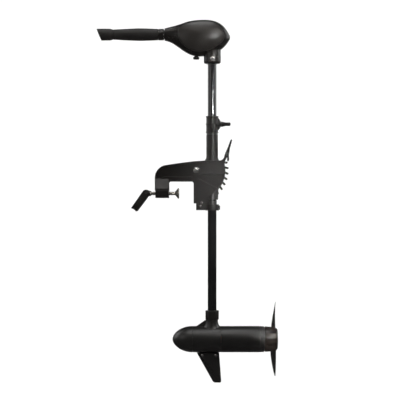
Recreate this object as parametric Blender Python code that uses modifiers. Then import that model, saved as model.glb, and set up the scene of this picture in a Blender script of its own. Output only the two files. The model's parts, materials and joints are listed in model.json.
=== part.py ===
"""Transom-mount electric trolling motor, in metres: +Z up, +X aft, -Y port.

The origin is the middle of the seat that rests on top of the boat's transom.
Profiles and outlines are written in millimetres and scaled by MM.
"""

import math

import bmesh
import bpy
import numpy as np
from mathutils import Matrix, Vector

MM = 0.001
GAP = 0.3  # between two pieces that touch, mm

# Driving dimensions, mm
SHAFT_X = 103.4  # the upright tube's axis, aft of the seat's middle
SHAFT_RADIUS = 14.5
SHAFT_TOP = 432.0
SHAFT_BOTTOM = -482.0  # 914 mm (36 in) of tube
PIVOT_X = 50.4  # tilt pivot
PIVOT_Z = 36.4
MOTOR_Z = -525.9  # the propeller shaft's axis
MOTOR_RADIUS = 43.4
MOTOR_STEPS = 24  # facets round the motor
TILLER_Z = 490.7  # the twist grip's axis
SCREW_Y = 36.0  # clamp screws, port and starboard
SCREW_Z = -39.7
SCREW_RADIUS = 6.0
THROAT_FRONT = -40.4  # clamp throat, where the transom goes
THROAT_BACK = 41.8
JAW_BACK = 49.0
ARM_HALF = 30.0  # outer half-width of the bracket's cheeks
CHEEK_INNER = 25.0
QUADRANT_ROOT = 97.0  # ratchet teeth on the tilting hinge
QUADRANT_TIP = 108.0
TOOTH_PITCH = 10.15  # degrees
TEETH = 7
FIRST_TOOTH = 15.3  # degrees above the pivot's level
LEVER_PIN_X = 152.0
LEVER_PIN_Z = 92.0
SLEEVE_RADIUS = 19.4
SLEEVE_TOP = 156.3
KNOB_Z = 191.4
PROP_RADIUS = 125.5

BLACK = (0.018, 0.018, 0.019)
SATIN = (0.030, 0.029, 0.029)
GLOSS = (0.012, 0.012, 0.013)
STEEL = (0.62, 0.62, 0.60)
COPPER = (0.72, 0.36, 0.20)


def clear_scene():
    for old in list(bpy.data.objects):
        bpy.data.objects.remove(old, do_unlink=True)


def collection(name):
    made = bpy.data.collections.new(name)
    bpy.context.scene.collection.children.link(made)
    return made


clear_scene()
PARTS = collection("trolling_motor")
CUTTERS = collection("cutters")


# ---------------------------------------------------------------- helpers


def material(name, colour, roughness=0.45, metallic=0.0):
    made = bpy.data.materials.get(name)
    if made is None:
        made = bpy.data.materials.new(name)
        made.use_nodes = True
        shader = made.node_tree.nodes["Principled BSDF"]
        shader.inputs["Base Color"].default_value = (*colour, 1.0)
        shader.inputs["Roughness"].default_value = roughness
        shader.inputs["Metallic"].default_value = metallic
        made.diffuse_color = (*colour, 1.0)
    return made


def place(name, mesh, location=(0, 0, 0), rotation=(0, 0, 0)):
    """A new object in the model's collection; location in mm."""
    made = bpy.data.objects.new(name, mesh)
    made.location = Vector(location) * MM
    made.rotation_euler = rotation
    PARTS.objects.link(made)
    return made


def finish(part, look, home=None):
    """Gives a part its own material and hangs it on the empty at its joint."""
    part.data.materials.clear()
    part.data.materials.append(look)
    if home is not None:
        part.parent = home
        part.matrix_parent_inverse = home.matrix_world.inverted()
    return part


def axis_empty(name, at, home=None):
    made = bpy.data.objects.new(name, None)
    made.location = Vector(at) * MM
    made.empty_display_size = 0.03
    PARTS.objects.link(made)
    bpy.context.view_layer.update()
    if home is not None:
        made.parent = home
        made.matrix_parent_inverse = home.matrix_world.inverted()
        bpy.context.view_layer.update()
    return made


def smooth(mesh, angle=35.0):
    mesh.shade_smooth()
    mesh.set_sharp_from_angle(angle=math.radians(angle))


def outline_mesh(outline, thickness):
    """The mesh of a flat outline, as thick as asked, centred on its plane."""
    curve = bpy.data.curves.new("outline", "CURVE")
    curve.dimensions = "2D"
    curve.fill_mode = "BOTH"
    curve.extrude = thickness * MM / 2
    spline = curve.splines.new("POLY")
    spline.points.add(len(outline) - 1)
    for point, (across, up) in zip(spline.points, outline):
        point.co = (across * MM, up * MM, 0.0, 1.0)
    spline.use_cyclic_u = True
    guide = bpy.data.objects.new("outline", curve)
    PARTS.objects.link(guide)
    bpy.context.view_layer.update()
    seen = guide.evaluated_get(bpy.context.evaluated_depsgraph_get())
    mesh = bpy.data.meshes.new_from_object(seen)
    bpy.data.objects.remove(guide, do_unlink=True)
    shape = bmesh.new()
    shape.from_mesh(mesh)
    bmesh.ops.remove_doubles(shape, verts=shape.verts, dist=1e-6)
    bmesh.ops.recalc_face_normals(shape, faces=shape.faces)
    shape.to_mesh(mesh)
    shape.free()
    return mesh


def plate(name, outline, y_low, y_high, location=(0, 0, 0)):
    """An outline in the XZ plane, from y_low to y_high."""
    mesh = outline_mesh(outline, y_high - y_low)
    mesh.transform(Matrix.Rotation(math.pi / 2, 4, "X"))
    mesh.transform(Matrix.Translation((0, (y_high + y_low) * MM / 2, 0)))
    mesh.transform(Matrix.Translation(-Vector(location) * MM))
    smooth(mesh)
    return place(name, mesh, location)


def slab(name, outline, z_low, z_high):
    """An outline in the XY plane, from z_low to z_high."""
    mesh = outline_mesh(outline, z_high - z_low)
    smooth(mesh)
    return place(name, mesh, (0, 0, (z_low + z_high) / 2))


def cross_slab(name, outline, x_low, x_high):
    """An outline in the YZ plane, from x_low to x_high."""
    mesh = outline_mesh(outline, x_high - x_low)
    mesh.transform(Matrix(((0, 0, 1, 0), (1, 0, 0, 0), (0, 1, 0, 0), (0, 0, 0, 1))))
    smooth(mesh)
    return place(name, mesh, ((x_low + x_high) / 2, 0, 0))


TURN = {"X": (0, math.pi / 2, 0), "Z": (0, 0, 0), "Y": (-math.pi / 2, 0, 0)}


def turned(name, profile, centre, axis="Z", steps=24, closed=True):
    """A profile of (radius, height) screwed round an axis through centre.

    It runs down its outer side from top to bottom, then up its bore.
    """
    mesh = bpy.data.meshes.new(name)
    points = [(radius * MM, 0.0, height * MM) for radius, height in profile]
    links = [(i, i + 1) for i in range(len(points) - 1)]
    if closed:
        links.append((len(points) - 1, 0))
    mesh.from_pydata(points, links, [])
    made = place(name, mesh, centre, TURN[axis])
    screw = made.modifiers.new("Turn", "SCREW")
    screw.steps = steps
    screw.render_steps = steps
    screw.use_merge_vertices = True
    screw.merge_threshold = 1e-5
    screw.use_smooth_shade = True
    return made


def ring(outer, inner, low, high, chamfer=0.0):
    """A tube's profile."""
    c = chamfer
    if c:
        return [
            (outer - c, high), (outer, high - c), (outer, low + c),
            (outer - c, low), (inner, low), (inner, high),
        ]
    return [(outer, high), (outer, low), (inner, low), (inner, high)]


def rod(radius, low, high, chamfer=0.0):
    """A solid rod's profile, open on the axis."""
    c = chamfer
    if c:
        return [
            (0, high), (radius - c, high), (radius, high - c),
            (radius, low + c), (radius - c, low), (0, low),
        ]
    return [(0, high), (radius, high), (radius, low), (0, low)]


def drum(name, radius, low, high, centre, axis="Z", sides=32):
    """A plain cylinder between two heights on an axis."""
    mesh = bpy.data.meshes.new(name)
    shape = bmesh.new()
    bmesh.ops.create_cone(
        shape, cap_ends=True, segments=sides,
        radius1=radius * MM, radius2=radius * MM, depth=(high - low) * MM,
    )
    bmesh.ops.translate(shape, verts=shape.verts, vec=(0, 0, (high + low) * MM / 2))
    shape.to_mesh(mesh)
    shape.free()
    smooth(mesh)
    return place(name, mesh, centre, TURN[axis])


def box(name, low, high):
    mesh = bpy.data.meshes.new(name)
    shape = bmesh.new()
    bmesh.ops.create_cube(shape, size=1.0)
    size = (Vector(high) - Vector(low)) * MM
    bmesh.ops.scale(shape, verts=shape.verts, vec=size)
    shape.to_mesh(mesh)
    shape.free()
    return place(name, mesh, (Vector(high) + Vector(low)) / 2)


def combine(part, tool, operation="UNION"):
    """Joins a tool to a part, or cuts the part with it."""
    if tool.name not in CUTTERS.objects:
        PARTS.objects.unlink(tool)
        CUTTERS.objects.link(tool)
        tool.hide_render = True
        tool.display_type = "WIRE"
    step = part.modifiers.new(operation.title(), "BOOLEAN")
    step.operation = operation
    step.solver = "EXACT"
    step.object = tool
    return part


def cut(part, *tools):
    for tool in tools:
        combine(part, tool, "DIFFERENCE")
    return part


def join(part, *tools):
    for tool in tools:
        combine(part, tool, "UNION")
    return part


def round_edges(part, width, segments=2, angle=40.0):
    bevel = part.modifiers.new("Round", "BEVEL")
    bevel.width = width * MM
    bevel.segments = segments
    bevel.limit_method = "ANGLE"
    bevel.angle_limit = math.radians(angle)
    bevel.harden_normals = False
    return part


def arc(centre, radius, start, end, steps):
    """Points on an arc, degrees anticlockwise from +X (or +Y)."""
    angles = np.radians(np.linspace(start, end, steps + 1))
    return [
        (centre[0] + radius * math.cos(a), centre[1] + radius * math.sin(a))
        for a in angles
    ]


def hexagon(across_corners, first=0.0):
    return arc((0, 0), across_corners / 2, first, first + 300, 5)


PIVOT = (PIVOT_X, PIVOT_Z)


def polar(radius, angle):
    """A point round the tilt pivot, in the XZ plane."""
    a = math.radians(angle)
    return PIVOT_X + radius * math.cos(a), PIVOT_Z + radius * math.sin(a)


# ---------------------------------------------------------------- joints

TILT = axis_empty("tilt_axis", (PIVOT_X, 0, PIVOT_Z))
STEER = axis_empty("steer_axis", (SHAFT_X, 0, SLEEVE_TOP), TILT)
DEPTH = axis_empty("depth_axis", (SHAFT_X, 0, 0), STEER)
PROP = axis_empty("prop_axis", (300, 0, MOTOR_Z), DEPTH)
TWIST = axis_empty("twist_axis", (-60, 0, TILLER_Z), DEPTH)
REACH = axis_empty("reach_axis", (-250, 0, TILLER_Z), TWIST)
LEVER = axis_empty("lever_axis", (LEVER_PIN_X, 0, LEVER_PIN_Z))
KNOB = axis_empty("knob_axis", (140, 0, KNOB_Z), STEER)
SIDES = {"port": -1, "starboard": 1}
SCREWS = {
    side: axis_empty(f"screw_axis_{side}", (-100, sign * SCREW_Y, SCREW_Z))
    for side, sign in SIDES.items()
}

NYLON = material("black_nylon", BLACK, 0.42)
COMPOSITE = material("gloss_composite", GLOSS, 0.16)
PANEL = material("satin_panel", SATIN, 0.38)
PAINT = material("black_enamel", BLACK, 0.33)
RUBBER = material("grip_rubber", BLACK, 0.6)
STAINLESS = material("stainless", STEEL, 0.25, 1.0)
ZINC = material("zinc_plate", STEEL, 0.35, 1.0)
WIRE = material("copper_wire", COPPER, 0.4, 1.0)
FERRITE = material("ferrite", (0.07, 0.07, 0.075), 0.6)
LAMINATION = material("lamination", (0.35, 0.35, 0.36), 0.5, 1.0)
CARBON = material("carbon", (0.04, 0.04, 0.04), 0.7)
PROP_NYLON = material("propeller_nylon", (0.025, 0.023, 0.022), 0.22)


# ---------------------------------------------------------------- bracket

ARM_TOP = [(-29.7, 57.0), (-3.7, 61.0), (46.0, 66.9), (72.5, 68.5), (130.0, 69.5)]
ARM_BEND = arc((-44.0, 12.0), 42.5, 180, 100, 6)  # front corner of the arm


def cheek_outline():
    """Arm, pivot, horn for the lever and fan behind the rear jaw, from the side."""
    horn_tip = arc((LEVER_PIN_X, LEVER_PIN_Z), 5.6, 165, -15, 4)
    fan = arc(PIVOT, QUADRANT_ROOT - 1.0, 15.0, -50.0, 8)
    return (
        [(-86.5, -30.0)] + ARM_BEND + ARM_TOP
        + [(138.0, 73.0), (143.0, 80.0)] + horn_tip
        + [(152.5, 80.0), (147.0, 69.0)] + fan
        + [(60.0, -68.5), (56.0, -71.9), (THROAT_BACK + 0.8, -71.9)]
        + [(THROAT_BACK + 0.8, -6.0), (THROAT_BACK - 5.0, 0.6)]
        + [(THROAT_FRONT + 4.0, 0.6), (THROAT_FRONT - 0.8, -5.0), (THROAT_FRONT - 0.8, -30.0)]
    )


def rim_strip(low, high):
    """The raised lip that runs round the top of the arm, between two depths."""
    outer = arc((-44.0, 12.0), 42.5 - low, 180, 100, 6)
    outer += [(x, z - low) for x, z in ARM_TOP]
    inner = arc((-44.0, 12.0), 42.5 - high, 180, 100, 6)
    inner += [(x, z - high) for x, z in ARM_TOP]
    return [(outer[0][0], -28.0)] + outer + inner[::-1] + [(inner[0][0], -28.0)]


def flange_outline():
    """The raised border that follows the seat and turns down the screw jaw."""
    outer = arc((-50.0, -5.0), 22.0, 180, 90, 4)
    inner = arc((-48.0, -8.0), 9.1, 90, 180, 3)
    return [(-72.0, -28.0)] + outer + [(38.0, 17.0), (38.0, 1.1)] + inner + [(-57.1, -28.0)]


def strip(start, end, width):
    """A straight rib's outline between two points."""
    a, b = Vector(start), Vector(end)
    side = (b - a).orthogonal().normalized() * width / 2
    return [tuple(a + side), tuple(b + side), tuple(b - side), tuple(a - side)]


def clamp_bracket():
    """One moulding: screw jaw, arm, rear jaw and the two cheeks that carry the pivot."""
    bracket = plate("clamp_bracket", cheek_outline(), -ARM_HALF, -CHEEK_INNER)
    far = plate("far_cheek", cheek_outline(), CHEEK_INNER, ARM_HALF)
    join(
        bracket,
        far,
        box("seat_web", (THROAT_FRONT - 30, -29, 0.0), (JAW_BACK - 1, 29, 6.0)),
        box("rear_jaw", (THROAT_BACK, -36, -72.8), (JAW_BACK, 36, 3.3)),
        plate(
            "top_web",
            [(-84.0, -25.0)] + arc((-44.0, 12.0), 40.5, 180, 100, 5)
            + [(-30, 55.0), (6, 59.6), (6, 54), (-28, 49.5)]
            + arc((-44.0, 12.0), 34.5, 100, 180, 5) + [(-78.0, -25.0)],
            -29, 29,
        ),
        cross_slab(
            "front_jaw",
            [(-52, -31), (-50, -24), (-31, 10), (31, 10), (50, -24), (52, -31)],
            -85.8, THROAT_FRONT,
        ),
        cross_slab(
            "screw_bar",
            arc((-44, -45), 10.0, 180, 270, 3) + arc((44, -45), 10.0, 270, 360, 3)
            + [(54, -30.5), (-54, -30.5)],
            -84.0, THROAT_FRONT - 0.8,
        ),
    )
    for sign in (-1, 1):
        low, high = sorted((sign * (ARM_HALF - 0.6), sign * (ARM_HALF + 1.8)))
        lower, upper = sorted((sign * (ARM_HALF - 0.7), sign * (ARM_HALF + 1.2)))
        join(
            bracket,
            plate("top_rim", rim_strip(0.4, 5.5), low, high),
            plate("seat_flange", flange_outline(), low, high),
            plate("fan_rib", strip((62, 24.0), (135, 24.0), 3.2), lower, upper),
            plate("fan_rib_low", strip((58, 9), (118, -21.5), 2.6), lower, upper),
        )
    for side, sign in SIDES.items():
        cut(bracket, drum(
            f"screw_bore_{side}", SCREW_RADIUS + GAP, -90, -30,
            (0, sign * SCREW_Y, SCREW_Z), "X", 14,
        ))
    pocket = box("jaw_pocket", (-77.0, -22.0, -29.0), (-30.0, 22.0, 0.0))
    well = box("arm_well", (-76.0, -24.0, 6.2), (-44.0, 24.0, 30.0))
    cut(
        bracket,
        pocket,
        well,
        drum("pivot_bore", 5.3, -60, 60, (PIVOT_X, 0, PIVOT_Z), "Y", 12),
        drum("lever_bore", 2.8, -60, 60, (LEVER_PIN_X, 0, LEVER_PIN_Z), "Y", 12),
    )
    return finish(bracket, NYLON)


def pivot_bolt():
    """Stainless bolt with a domed head on the port side, its nut to starboard."""
    head = ARM_HALF + 2.6
    profile = [
        (0, head + 6.5), (5.0, head + 5.8), (8.2, head + 3.6), (9.4, head), (5.0, head),
        (5.0, -ARM_HALF - 11.0), (0, -ARM_HALF - 11.0),
    ]
    bolt = turned("pivot_bolt", profile, (PIVOT_X, 0, PIVOT_Z), "Y", 16, closed=False)
    bolt.rotation_euler = (math.pi / 2, 0, 0)
    finish(bolt, STAINLESS)
    nut = drum("pivot_nut", 9.5, ARM_HALF + 0.4, ARM_HALF + 8.0, (PIVOT_X, 0, PIVOT_Z), "Y", 6)
    cut(nut, drum("pivot_nut_bore", 5.3, 20, 50, (PIVOT_X, 0, PIVOT_Z), "Y", 16))
    finish(nut, STAINLESS)


def clamp_screws():
    """Each screw carries a swivel pad in the throat and a cranked handle in front."""
    along = Vector((-0.587, 0, -0.810))  # the handle leans forward and down
    across = Vector((-along.z, 0, along.x))
    for side, sign in SIDES.items():
        y = sign * SCREW_Y
        home = SCREWS[side]
        screw = turned(
            f"clamp_screw_{side}",
            [
                (0, -13.5), (3.6, -13.5), (3.6, -19.0), (SCREW_RADIUS, -20.0),
                (SCREW_RADIUS, -103.0), (0, -103.0),
            ],
            (0, y, SCREW_Z), "X", 14, closed=False,
        )
        finish(screw, ZINC, home)
        pad = turned(
            f"clamp_pad_{side}",
            [
                (0, -7.4), (17.2, -7.4), (17.7, -8.8), (16.0, -11.5), (9.5, -15.5),
                (7.2, -18.6), (4.0, -18.6), (4.0, -12.8), (0, -12.8),
            ],
            (0, y, SCREW_Z), "X", 16, closed=False,
        )
        finish(pad, ZINC)
        top = Vector((-116.2, 0, SCREW_Z + 1.0))
        toe = top + along * 65.5
        width = 11.6
        outline = []
        for k in range(7):
            turn = math.radians(30 * k)
            point = top + across * (width * math.cos(turn)) - along * (width * math.sin(turn))
            outline.append((point.x, point.z))
        for reach, side_step in ((0, -1), (2.5, -1), (2.5, -0.45), (-3.5, -0.45), (-3.5, 0.45),
                                 (2.5, 0.45), (2.5, 1), (0, 1)):
            point = toe + along * reach + across * (side_step * (width - 1.0))
            outline.append((point.x, point.z))
        handle = plate(f"clamp_handle_{side}", outline, y - 8.0, y + 8.0, (-116, y, SCREW_Z))
        round_edges(handle, 2.0, 1, 60)
        bore = drum(f"handle_bore_{side}", SCREW_RADIUS + GAP, -104.0 - 2.5, -80, (0, y, SCREW_Z), "X", 16)
        stub = drum(f"handle_stub_{side}", 9.0, -113, -101.5, (0, y, SCREW_Z), "X", 16)
        join(handle, stub)
        cut(handle, bore)
        pin_at = (-116.2, y, SCREW_Z + 1.0)
        cut(handle, drum(f"handle_pin_bore_{side}", 2.3, -20, 20, pin_at, "Y", 12))
        finish(handle, NYLON, home)
        pin = turned(f"handle_pin_{side}", rod(2.0, -8.6, 8.6), pin_at, "Y", 8, closed=False)
        finish(pin, STAINLESS, home)


# ---------------------------------------------------------------- tilting hinge


def quadrant_outline():
    """Hooked ratchet teeth round the pivot: long upper flanks, tips that point down."""
    points = [(110.0, 62.0), polar(QUADRANT_ROOT, FIRST_TOOTH + 4.0)]
    for k in range(TEETH):
        tip = FIRST_TOOTH - k * TOOTH_PITCH
        points += [
            polar(QUADRANT_ROOT, tip + 3.4),
            polar(QUADRANT_TIP, tip + 0.7),
            polar(QUADRANT_TIP, tip - 1.8),
            polar(QUADRANT_TIP - 4.0, tip - 2.3),
            polar(QUADRANT_ROOT, tip - 1.0),
            polar(QUADRANT_ROOT, tip - 3.6),
        ]
    points += [polar(QUADRANT_ROOT, -50.0), (108.0, -50.0)]
    return points


def tilt_hinge():
    """Sleeve for the shaft, pivot boss and toothed quadrant in one casting."""
    block = (
        [(JAW_BACK + 0.6, -60.0), (JAW_BACK + 0.6, 20.0)]
        + arc(PIVOT, 13.0, 250, 70, 6)
        + [(66.0, 60.0), (73.0, 66.0), (79.0, 70.5), (83.0, 77.0), (84.5, 86.0)]
        + [(121.5, 86.0), (123.0, 77.0), (127.0, 68.5), (127.0, 30.0), (123.0, -60.0)]
    )
    hinge = plate("tilt_hinge", block, -16.5, 16.5, (PIVOT_X, 0, PIVOT_Z))
    join(
        hinge,
        plate("quadrant", quadrant_outline(), -11.0, 11.0),
        drum("pivot_boss", 13.0, -24.4, 24.4, (PIVOT_X, 0, PIVOT_Z), "Y", 16),
        drum("sleeve", SLEEVE_RADIUS, -60.5, SLEEVE_TOP, (SHAFT_X, 0, 0), "Z", 20),
        box("sleeve_rib", (118.0, -5.0, 60.0), (122.6, 5.0, SLEEVE_TOP - 3)),
        drum("heel_ring", 22.5, -96.5, -76.0, (SHAFT_X, 0, 0), "Z", 20),
        plate("heel", [(49.8, -95.5), (49.8, -58), (92, -58), (92, -95.5)], -13.0, 13.0),
        box("heel_lug", (120.0, -7.0, -94.0), (130.0, 7.0, -80.0)),
    )
    cut(
        hinge,
        drum("shaft_bore", SHAFT_RADIUS + 1.4, -100, 160, (SHAFT_X, 0, 0), "Z", 20),
        drum("hinge_bore", 5.3, -40, 40, (PIVOT_X, 0, PIVOT_Z), "Y", 14),
        box("sleeve_slit", (110.0, -1.0, 96.0), (130.0, 1.0, 160.0)),
    )
    heel_bolts = ((63.8, -81.9), (68.5, -70.5))
    for k, (x, z) in enumerate(heel_bolts):
        cut(hinge, drum(f"heel_bore_{k}", 2.8, -20, 20, (x, 0, z), "Y", 12))
        bolt = turned(
            f"heel_bolt_{k + 1}",
            [(0, 17.0), (3.2, 16.4), (4.8, 13.3), (2.5, 13.3), (2.5, -15.0), (0, -15.0)],
            (x, 0, z), "Y", 12, closed=False,
        )
        bolt.rotation_euler = (math.pi / 2, 0, 0)
        finish(bolt, STAINLESS, TILT)
    finish(hinge, NYLON, TILT)
    bush = turned(
        "sleeve_bush",
        [
            (18.6, SLEEVE_TOP + 5.2), (18.6, SLEEVE_TOP + GAP), (15.6, SLEEVE_TOP + GAP),
            (15.6, 112.0), (14.9, 112.0), (14.9, SLEEVE_TOP + 5.2),
        ],
        (SHAFT_X, 0, 0), "Z", 20,
    )
    finish(bush, material("acetal", (0.02, 0.02, 0.02), 0.3), TILT)
    heel_bush = turned(
        "heel_bush", ring(15.6, 14.9, -96.0, -64.0), (SHAFT_X, 0, 0), "Z", 20
    )
    finish(heel_bush, material("acetal", (0.02, 0.02, 0.02), 0.3), TILT)


def tilt_lever():
    """Spring lever pinned between the horns; its nose stands just off the teeth."""
    outline = (
        [(154.7, 68.1), (153.0, 73.0), (154.4, 78.5), (151.5, 84.5), (148.0, 88.5)]
        + [(146.6, 92.0), (147.4, 96.0), (151.0, 103.5), (156.0, 115.0), (163.0, 134.0)]
        + [(165.4, 139.5), (168.0, 140.8), (170.4, 138.6), (167.4, 127.0), (162.6, 110.0)]
        + [(160.4, 98.0), (159.4, 88.0), (160.2, 78.0), (160.2, 71.0), (157.8, 67.6)]
    )
    lever = plate("tilt_lever", outline, -10.0, 10.0, (LEVER_PIN_X, 0, LEVER_PIN_Z))
    join(lever, drum("lever_boss", 5.6, -17.0, 17.0, (LEVER_PIN_X, 0, LEVER_PIN_Z), "Y", 14))
    cut(lever, drum("lever_eye", 2.8, -30, 30, (LEVER_PIN_X, 0, LEVER_PIN_Z), "Y", 12))
    finish(lever, NYLON, LEVER)
    pin = turned(
        "lever_pin",
        [(0, 32.6), (4.4, 32.6), (4.4, 30.4), (2.5, 30.4), (2.5, -31.5), (0, -31.5)],
        (LEVER_PIN_X, 0, LEVER_PIN_Z), "Y", 12, closed=False,
    )
    finish(pin, STAINLESS)


def lever_spring():
    """Torsion spring round the lever's pin, starboard of its boss."""
    turns, pitch, coil, sides = 3, 1.7, 4.4, 8
    count = turns * sides
    curve = bpy.data.curves.new("lever_spring", "CURVE")
    curve.dimensions = "3D"
    curve.bevel_depth = 0.6 * MM
    curve.bevel_resolution = 0
    curve.use_fill_caps = True
    points = []
    for k in range(count + 1):
        a = 2 * math.pi * k / sides
        points.append((coil * math.cos(a), 17.9 + pitch * k / sides, coil * math.sin(a)))
    spline = curve.splines.new("POLY")
    spline.points.add(len(points) - 1)
    for point, co in zip(spline.points, points):
        point.co = (co[0] * MM, co[1] * MM, co[2] * MM, 1.0)
    spring = bpy.data.objects.new("lever_spring", curve)
    spring.location = (LEVER_PIN_X * MM, 0, LEVER_PIN_Z * MM)
    PARTS.objects.link(spring)
    curve.materials.append(STAINLESS)


# ---------------------------------------------------------------- steering collar


def depth_collar():
    """Split collar that rests on the sleeve and grips the shaft at the chosen depth."""
    z0 = SLEEVE_TOP + 5.6
    body, flange, bore = 19.6, 21.2, SHAFT_RADIUS + GAP
    collar = turned(
        "depth_collar",
        [
            (0, 218.0), (flange, 218.0), (flange, 215.0), (body, 213.5), (body, 194.5),
            (flange, 193.0), (flange, 190.0), (body, 188.5), (body, 167.0),
            (flange, 165.5), (flange, z0), (0, z0),
        ],
        (SHAFT_X, 0, 0), "Z", 20, closed=False,
    )
    gusset = plate(
        "knob_gusset",
        [(117, 215), (122, 215.5), (129, 206), (133, 198), (133, 184.5), (129, 177),
         (122, 168), (117, 168)],
        -3.3, 3.3,
    )
    boss = drum("knob_boss", 8.0, 112, 133.2, (0, 0, KNOB_Z), "X", 16)
    join(collar, gusset, boss)
    cut(
        collar,
        drum("collar_bore", bore, 150, 230, (SHAFT_X, 0, 0), "Z", 20),
        drum("stud_bore", 4.3, 110, 140, (0, 0, KNOB_Z), "X", 16),
        box("collar_split", (80.0, -1.0, 150.0), (92.0, 1.0, 230.0)),
    )
    finish(collar, NYLON, STEER)
    stud = turned(
        "knob_stud", rod(4.0, SHAFT_X + SHAFT_RADIUS + 0.4, 146.0, 0.6),
        (0, 0, KNOB_Z), "X", 12, closed=False,
    )
    finish(stud, STAINLESS, KNOB)
    wing = (
        [(133.5, -6.0), (140.0, -9.0), (150.0, -17.0), (158.0, -20.0)]
        + arc((158.0, -13.0), 7.0, 270, 345, 3)
        + [(161.0, -4.0), (161.0, 4.0)]
        + arc((158.0, 13.0), 7.0, 15, 90, 3)
        + [(158.0, 20.0), (150.0, 17.0), (140.0, 9.0), (133.5, 6.0)]
    )
    knob = slab("depth_knob", wing, KNOB_Z - 5.0, KNOB_Z + 5.0)
    join(knob, turned(
        "knob_hub", [(0, 150.0), (6.0, 149.0), (7.5, 142.0), (9.5, 133.5), (0, 133.5)],
        (0, 0, KNOB_Z), "X", 16, closed=False,
    ))
    cut(knob, drum("knob_socket", 4.3, 130, 146.4, (0, 0, KNOB_Z), "X", 16))
    finish(knob, NYLON, KNOB)


# ---------------------------------------------------------------- shaft and head


def shaft_tube():
    tube = turned(
        "shaft_tube", ring(SHAFT_RADIUS, 12.0, SHAFT_BOTTOM, SHAFT_TOP),
        (SHAFT_X, 0, 0), "Z", 20,
    )
    cut(tube, drum("tube_bolt_bore", 3.3, -30, 30, (SHAFT_X + 1.1, 0, 408.5), "Y", 12))
    finish(tube, COMPOSITE, DEPTH)


# Head sections from the neck aft: place, top, underside, half-width
HEAD = (
    (-55.0, 511.1, 470.3, 20.4),
    (-40.0, 515.0, 466.5, 22.5),
    (-24.0, 519.0, 458.5, 26.0),
    (-8.0, 523.6, 447.5, 31.0),
    (8.0, 529.0, 436.0, 36.0),
    (28.0, 535.0, 425.0, 41.5),
    (49.0, 538.0, 419.0, 45.0),
    (68.0, 539.1, 418.0, 46.6),
    (86.0, 539.0, 420.0, 46.8),
    (104.0, 537.0, 425.0, 45.2),
    (120.0, 532.0, 432.0, 41.8),
    (134.0, 524.0, 441.0, 36.8),
    (146.0, 512.3, 452.0, 30.0),
    (155.0, 499.6, 463.0, 21.5),
    (161.0, 488.5, 472.5, 13.0),
)
HEAD_POWER = 2.25  # of the superellipse sections


def head_section(x):
    """Middle height, half-height and half-width of the head at x."""
    places = [s[0] for s in HEAD]
    top, low, wide = (np.interp(x, places, [s[k] for s in HEAD]) for k in (1, 2, 3))
    return (top + low) / 2, (top - low) / 2, wide


def head_side(x, z):
    """Half-width of the head's outside at a point of its side view."""
    middle, tall, wide = head_section(x)
    inside = max(0.0, 1 - abs((z - middle) / tall) ** HEAD_POWER)
    return wide * inside ** (1 / HEAD_POWER)


def head_shell(side, sign):
    """Half of the egg-shaped housing, split on the middle plane, with its shaft socket."""
    around = 8
    points, faces = [], []
    for x, top, low, wide in HEAD:
        middle, tall = (top + low) / 2, (top - low) / 2
        for k in range(around + 1):
            a = math.pi * (k / around - 0.5)
            across = max(0.0, math.cos(a)) ** (2 / HEAD_POWER)
            up = math.copysign(abs(math.sin(a)) ** (2 / HEAD_POWER), math.sin(a))
            y = sign * (wide * across)
            points.append((x * MM, y * MM, (middle + tall * up) * MM))
    width = around + 1
    for i in range(len(HEAD) - 1):
        for k in range(around):
            a = i * width + k
            faces.append((a, a + 1, a + width + 1, a + width))
    faces.append(tuple(range((len(HEAD) - 1) * width, len(HEAD) * width)))
    mesh = bpy.data.meshes.new(f"head_shell_{side}")
    mesh.from_pydata(points, [], faces)
    shape = bmesh.new()
    shape.from_mesh(mesh)
    bmesh.ops.recalc_face_normals(shape, faces=shape.faces)
    shape.faces.ensure_lookup_table()
    if shape.faces[6].normal.y * sign < 0:
        bmesh.ops.reverse_faces(shape, faces=shape.faces)
    shape.to_mesh(mesh)
    shape.free()
    smooth(mesh, 50)
    shell = place(f"head_shell_{side}", mesh)
    wall = shell.modifiers.new("Wall", "SOLIDIFY")
    wall.thickness = 2.6 * MM
    wall.offset = -1
    wall.use_even_offset = True
    socket = turned(
        f"head_socket_{side}",
        [(0, 448), (22.0, 448), (28.2, 440), (28.2, 399), (26.5, 395.0), (24.5, 394.0), (0, 394.0)],
        (SHAFT_X + 0.6, 0, 0), "Z", 20, closed=False,
    )
    join(shell, socket)
    low, high = sorted((-sign * 80.0, sign * 0.15))
    cut(
        shell,
        box(f"head_split_{side}", (-90.0, low, 380.0), (190.0, high, 560.0)),
        drum(f"socket_bore_{side}", SHAFT_RADIUS + GAP, 380, SHAFT_TOP + 0.5, (SHAFT_X, 0, 0), "Z", 20),
        drum(f"wire_bore_{side}", 11.0, 425, 455, (SHAFT_X, 0, 0), "Z", 12),
        drum(f"head_bolt_bore_{side}", 3.3, -60, 60, (SHAFT_X + 1.1, 0, 408.5), "Y", 12),
        drum(f"gland_bore_{side}", 6.9, 400, 450, (50.5, 0, 0), "Z", 16),
    )
    return finish(shell, NYLON, DEPTH)


# Side panel's outline from its front corner over the top, XZ
PANEL_OUTLINE = (
    (-9.0, 500.0), (-2.0, 513.0), (12.0, 521.5), (32.0, 527.5), (54.0, 530.8),
    (76.0, 531.8), (97.0, 529.3), (115.0, 522.0), (129.0, 510.5), (138.5, 496.0),
    (143.0, 481.0), (140.0, 468.5), (130.0, 457.0), (116.0, 447.5), (99.0, 438.5),
    (80.0, 432.5), (60.0, 430.5), (42.0, 433.5), (26.0, 440.5), (12.0, 449.5),
    (0.5, 460.5), (-6.5, 474.0), (-10.0, 487.5),
)
PANEL_RINGS = 3
CREASE = (497.0, -0.10)  # height at x = 0 and slope of the panel's crease


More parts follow.
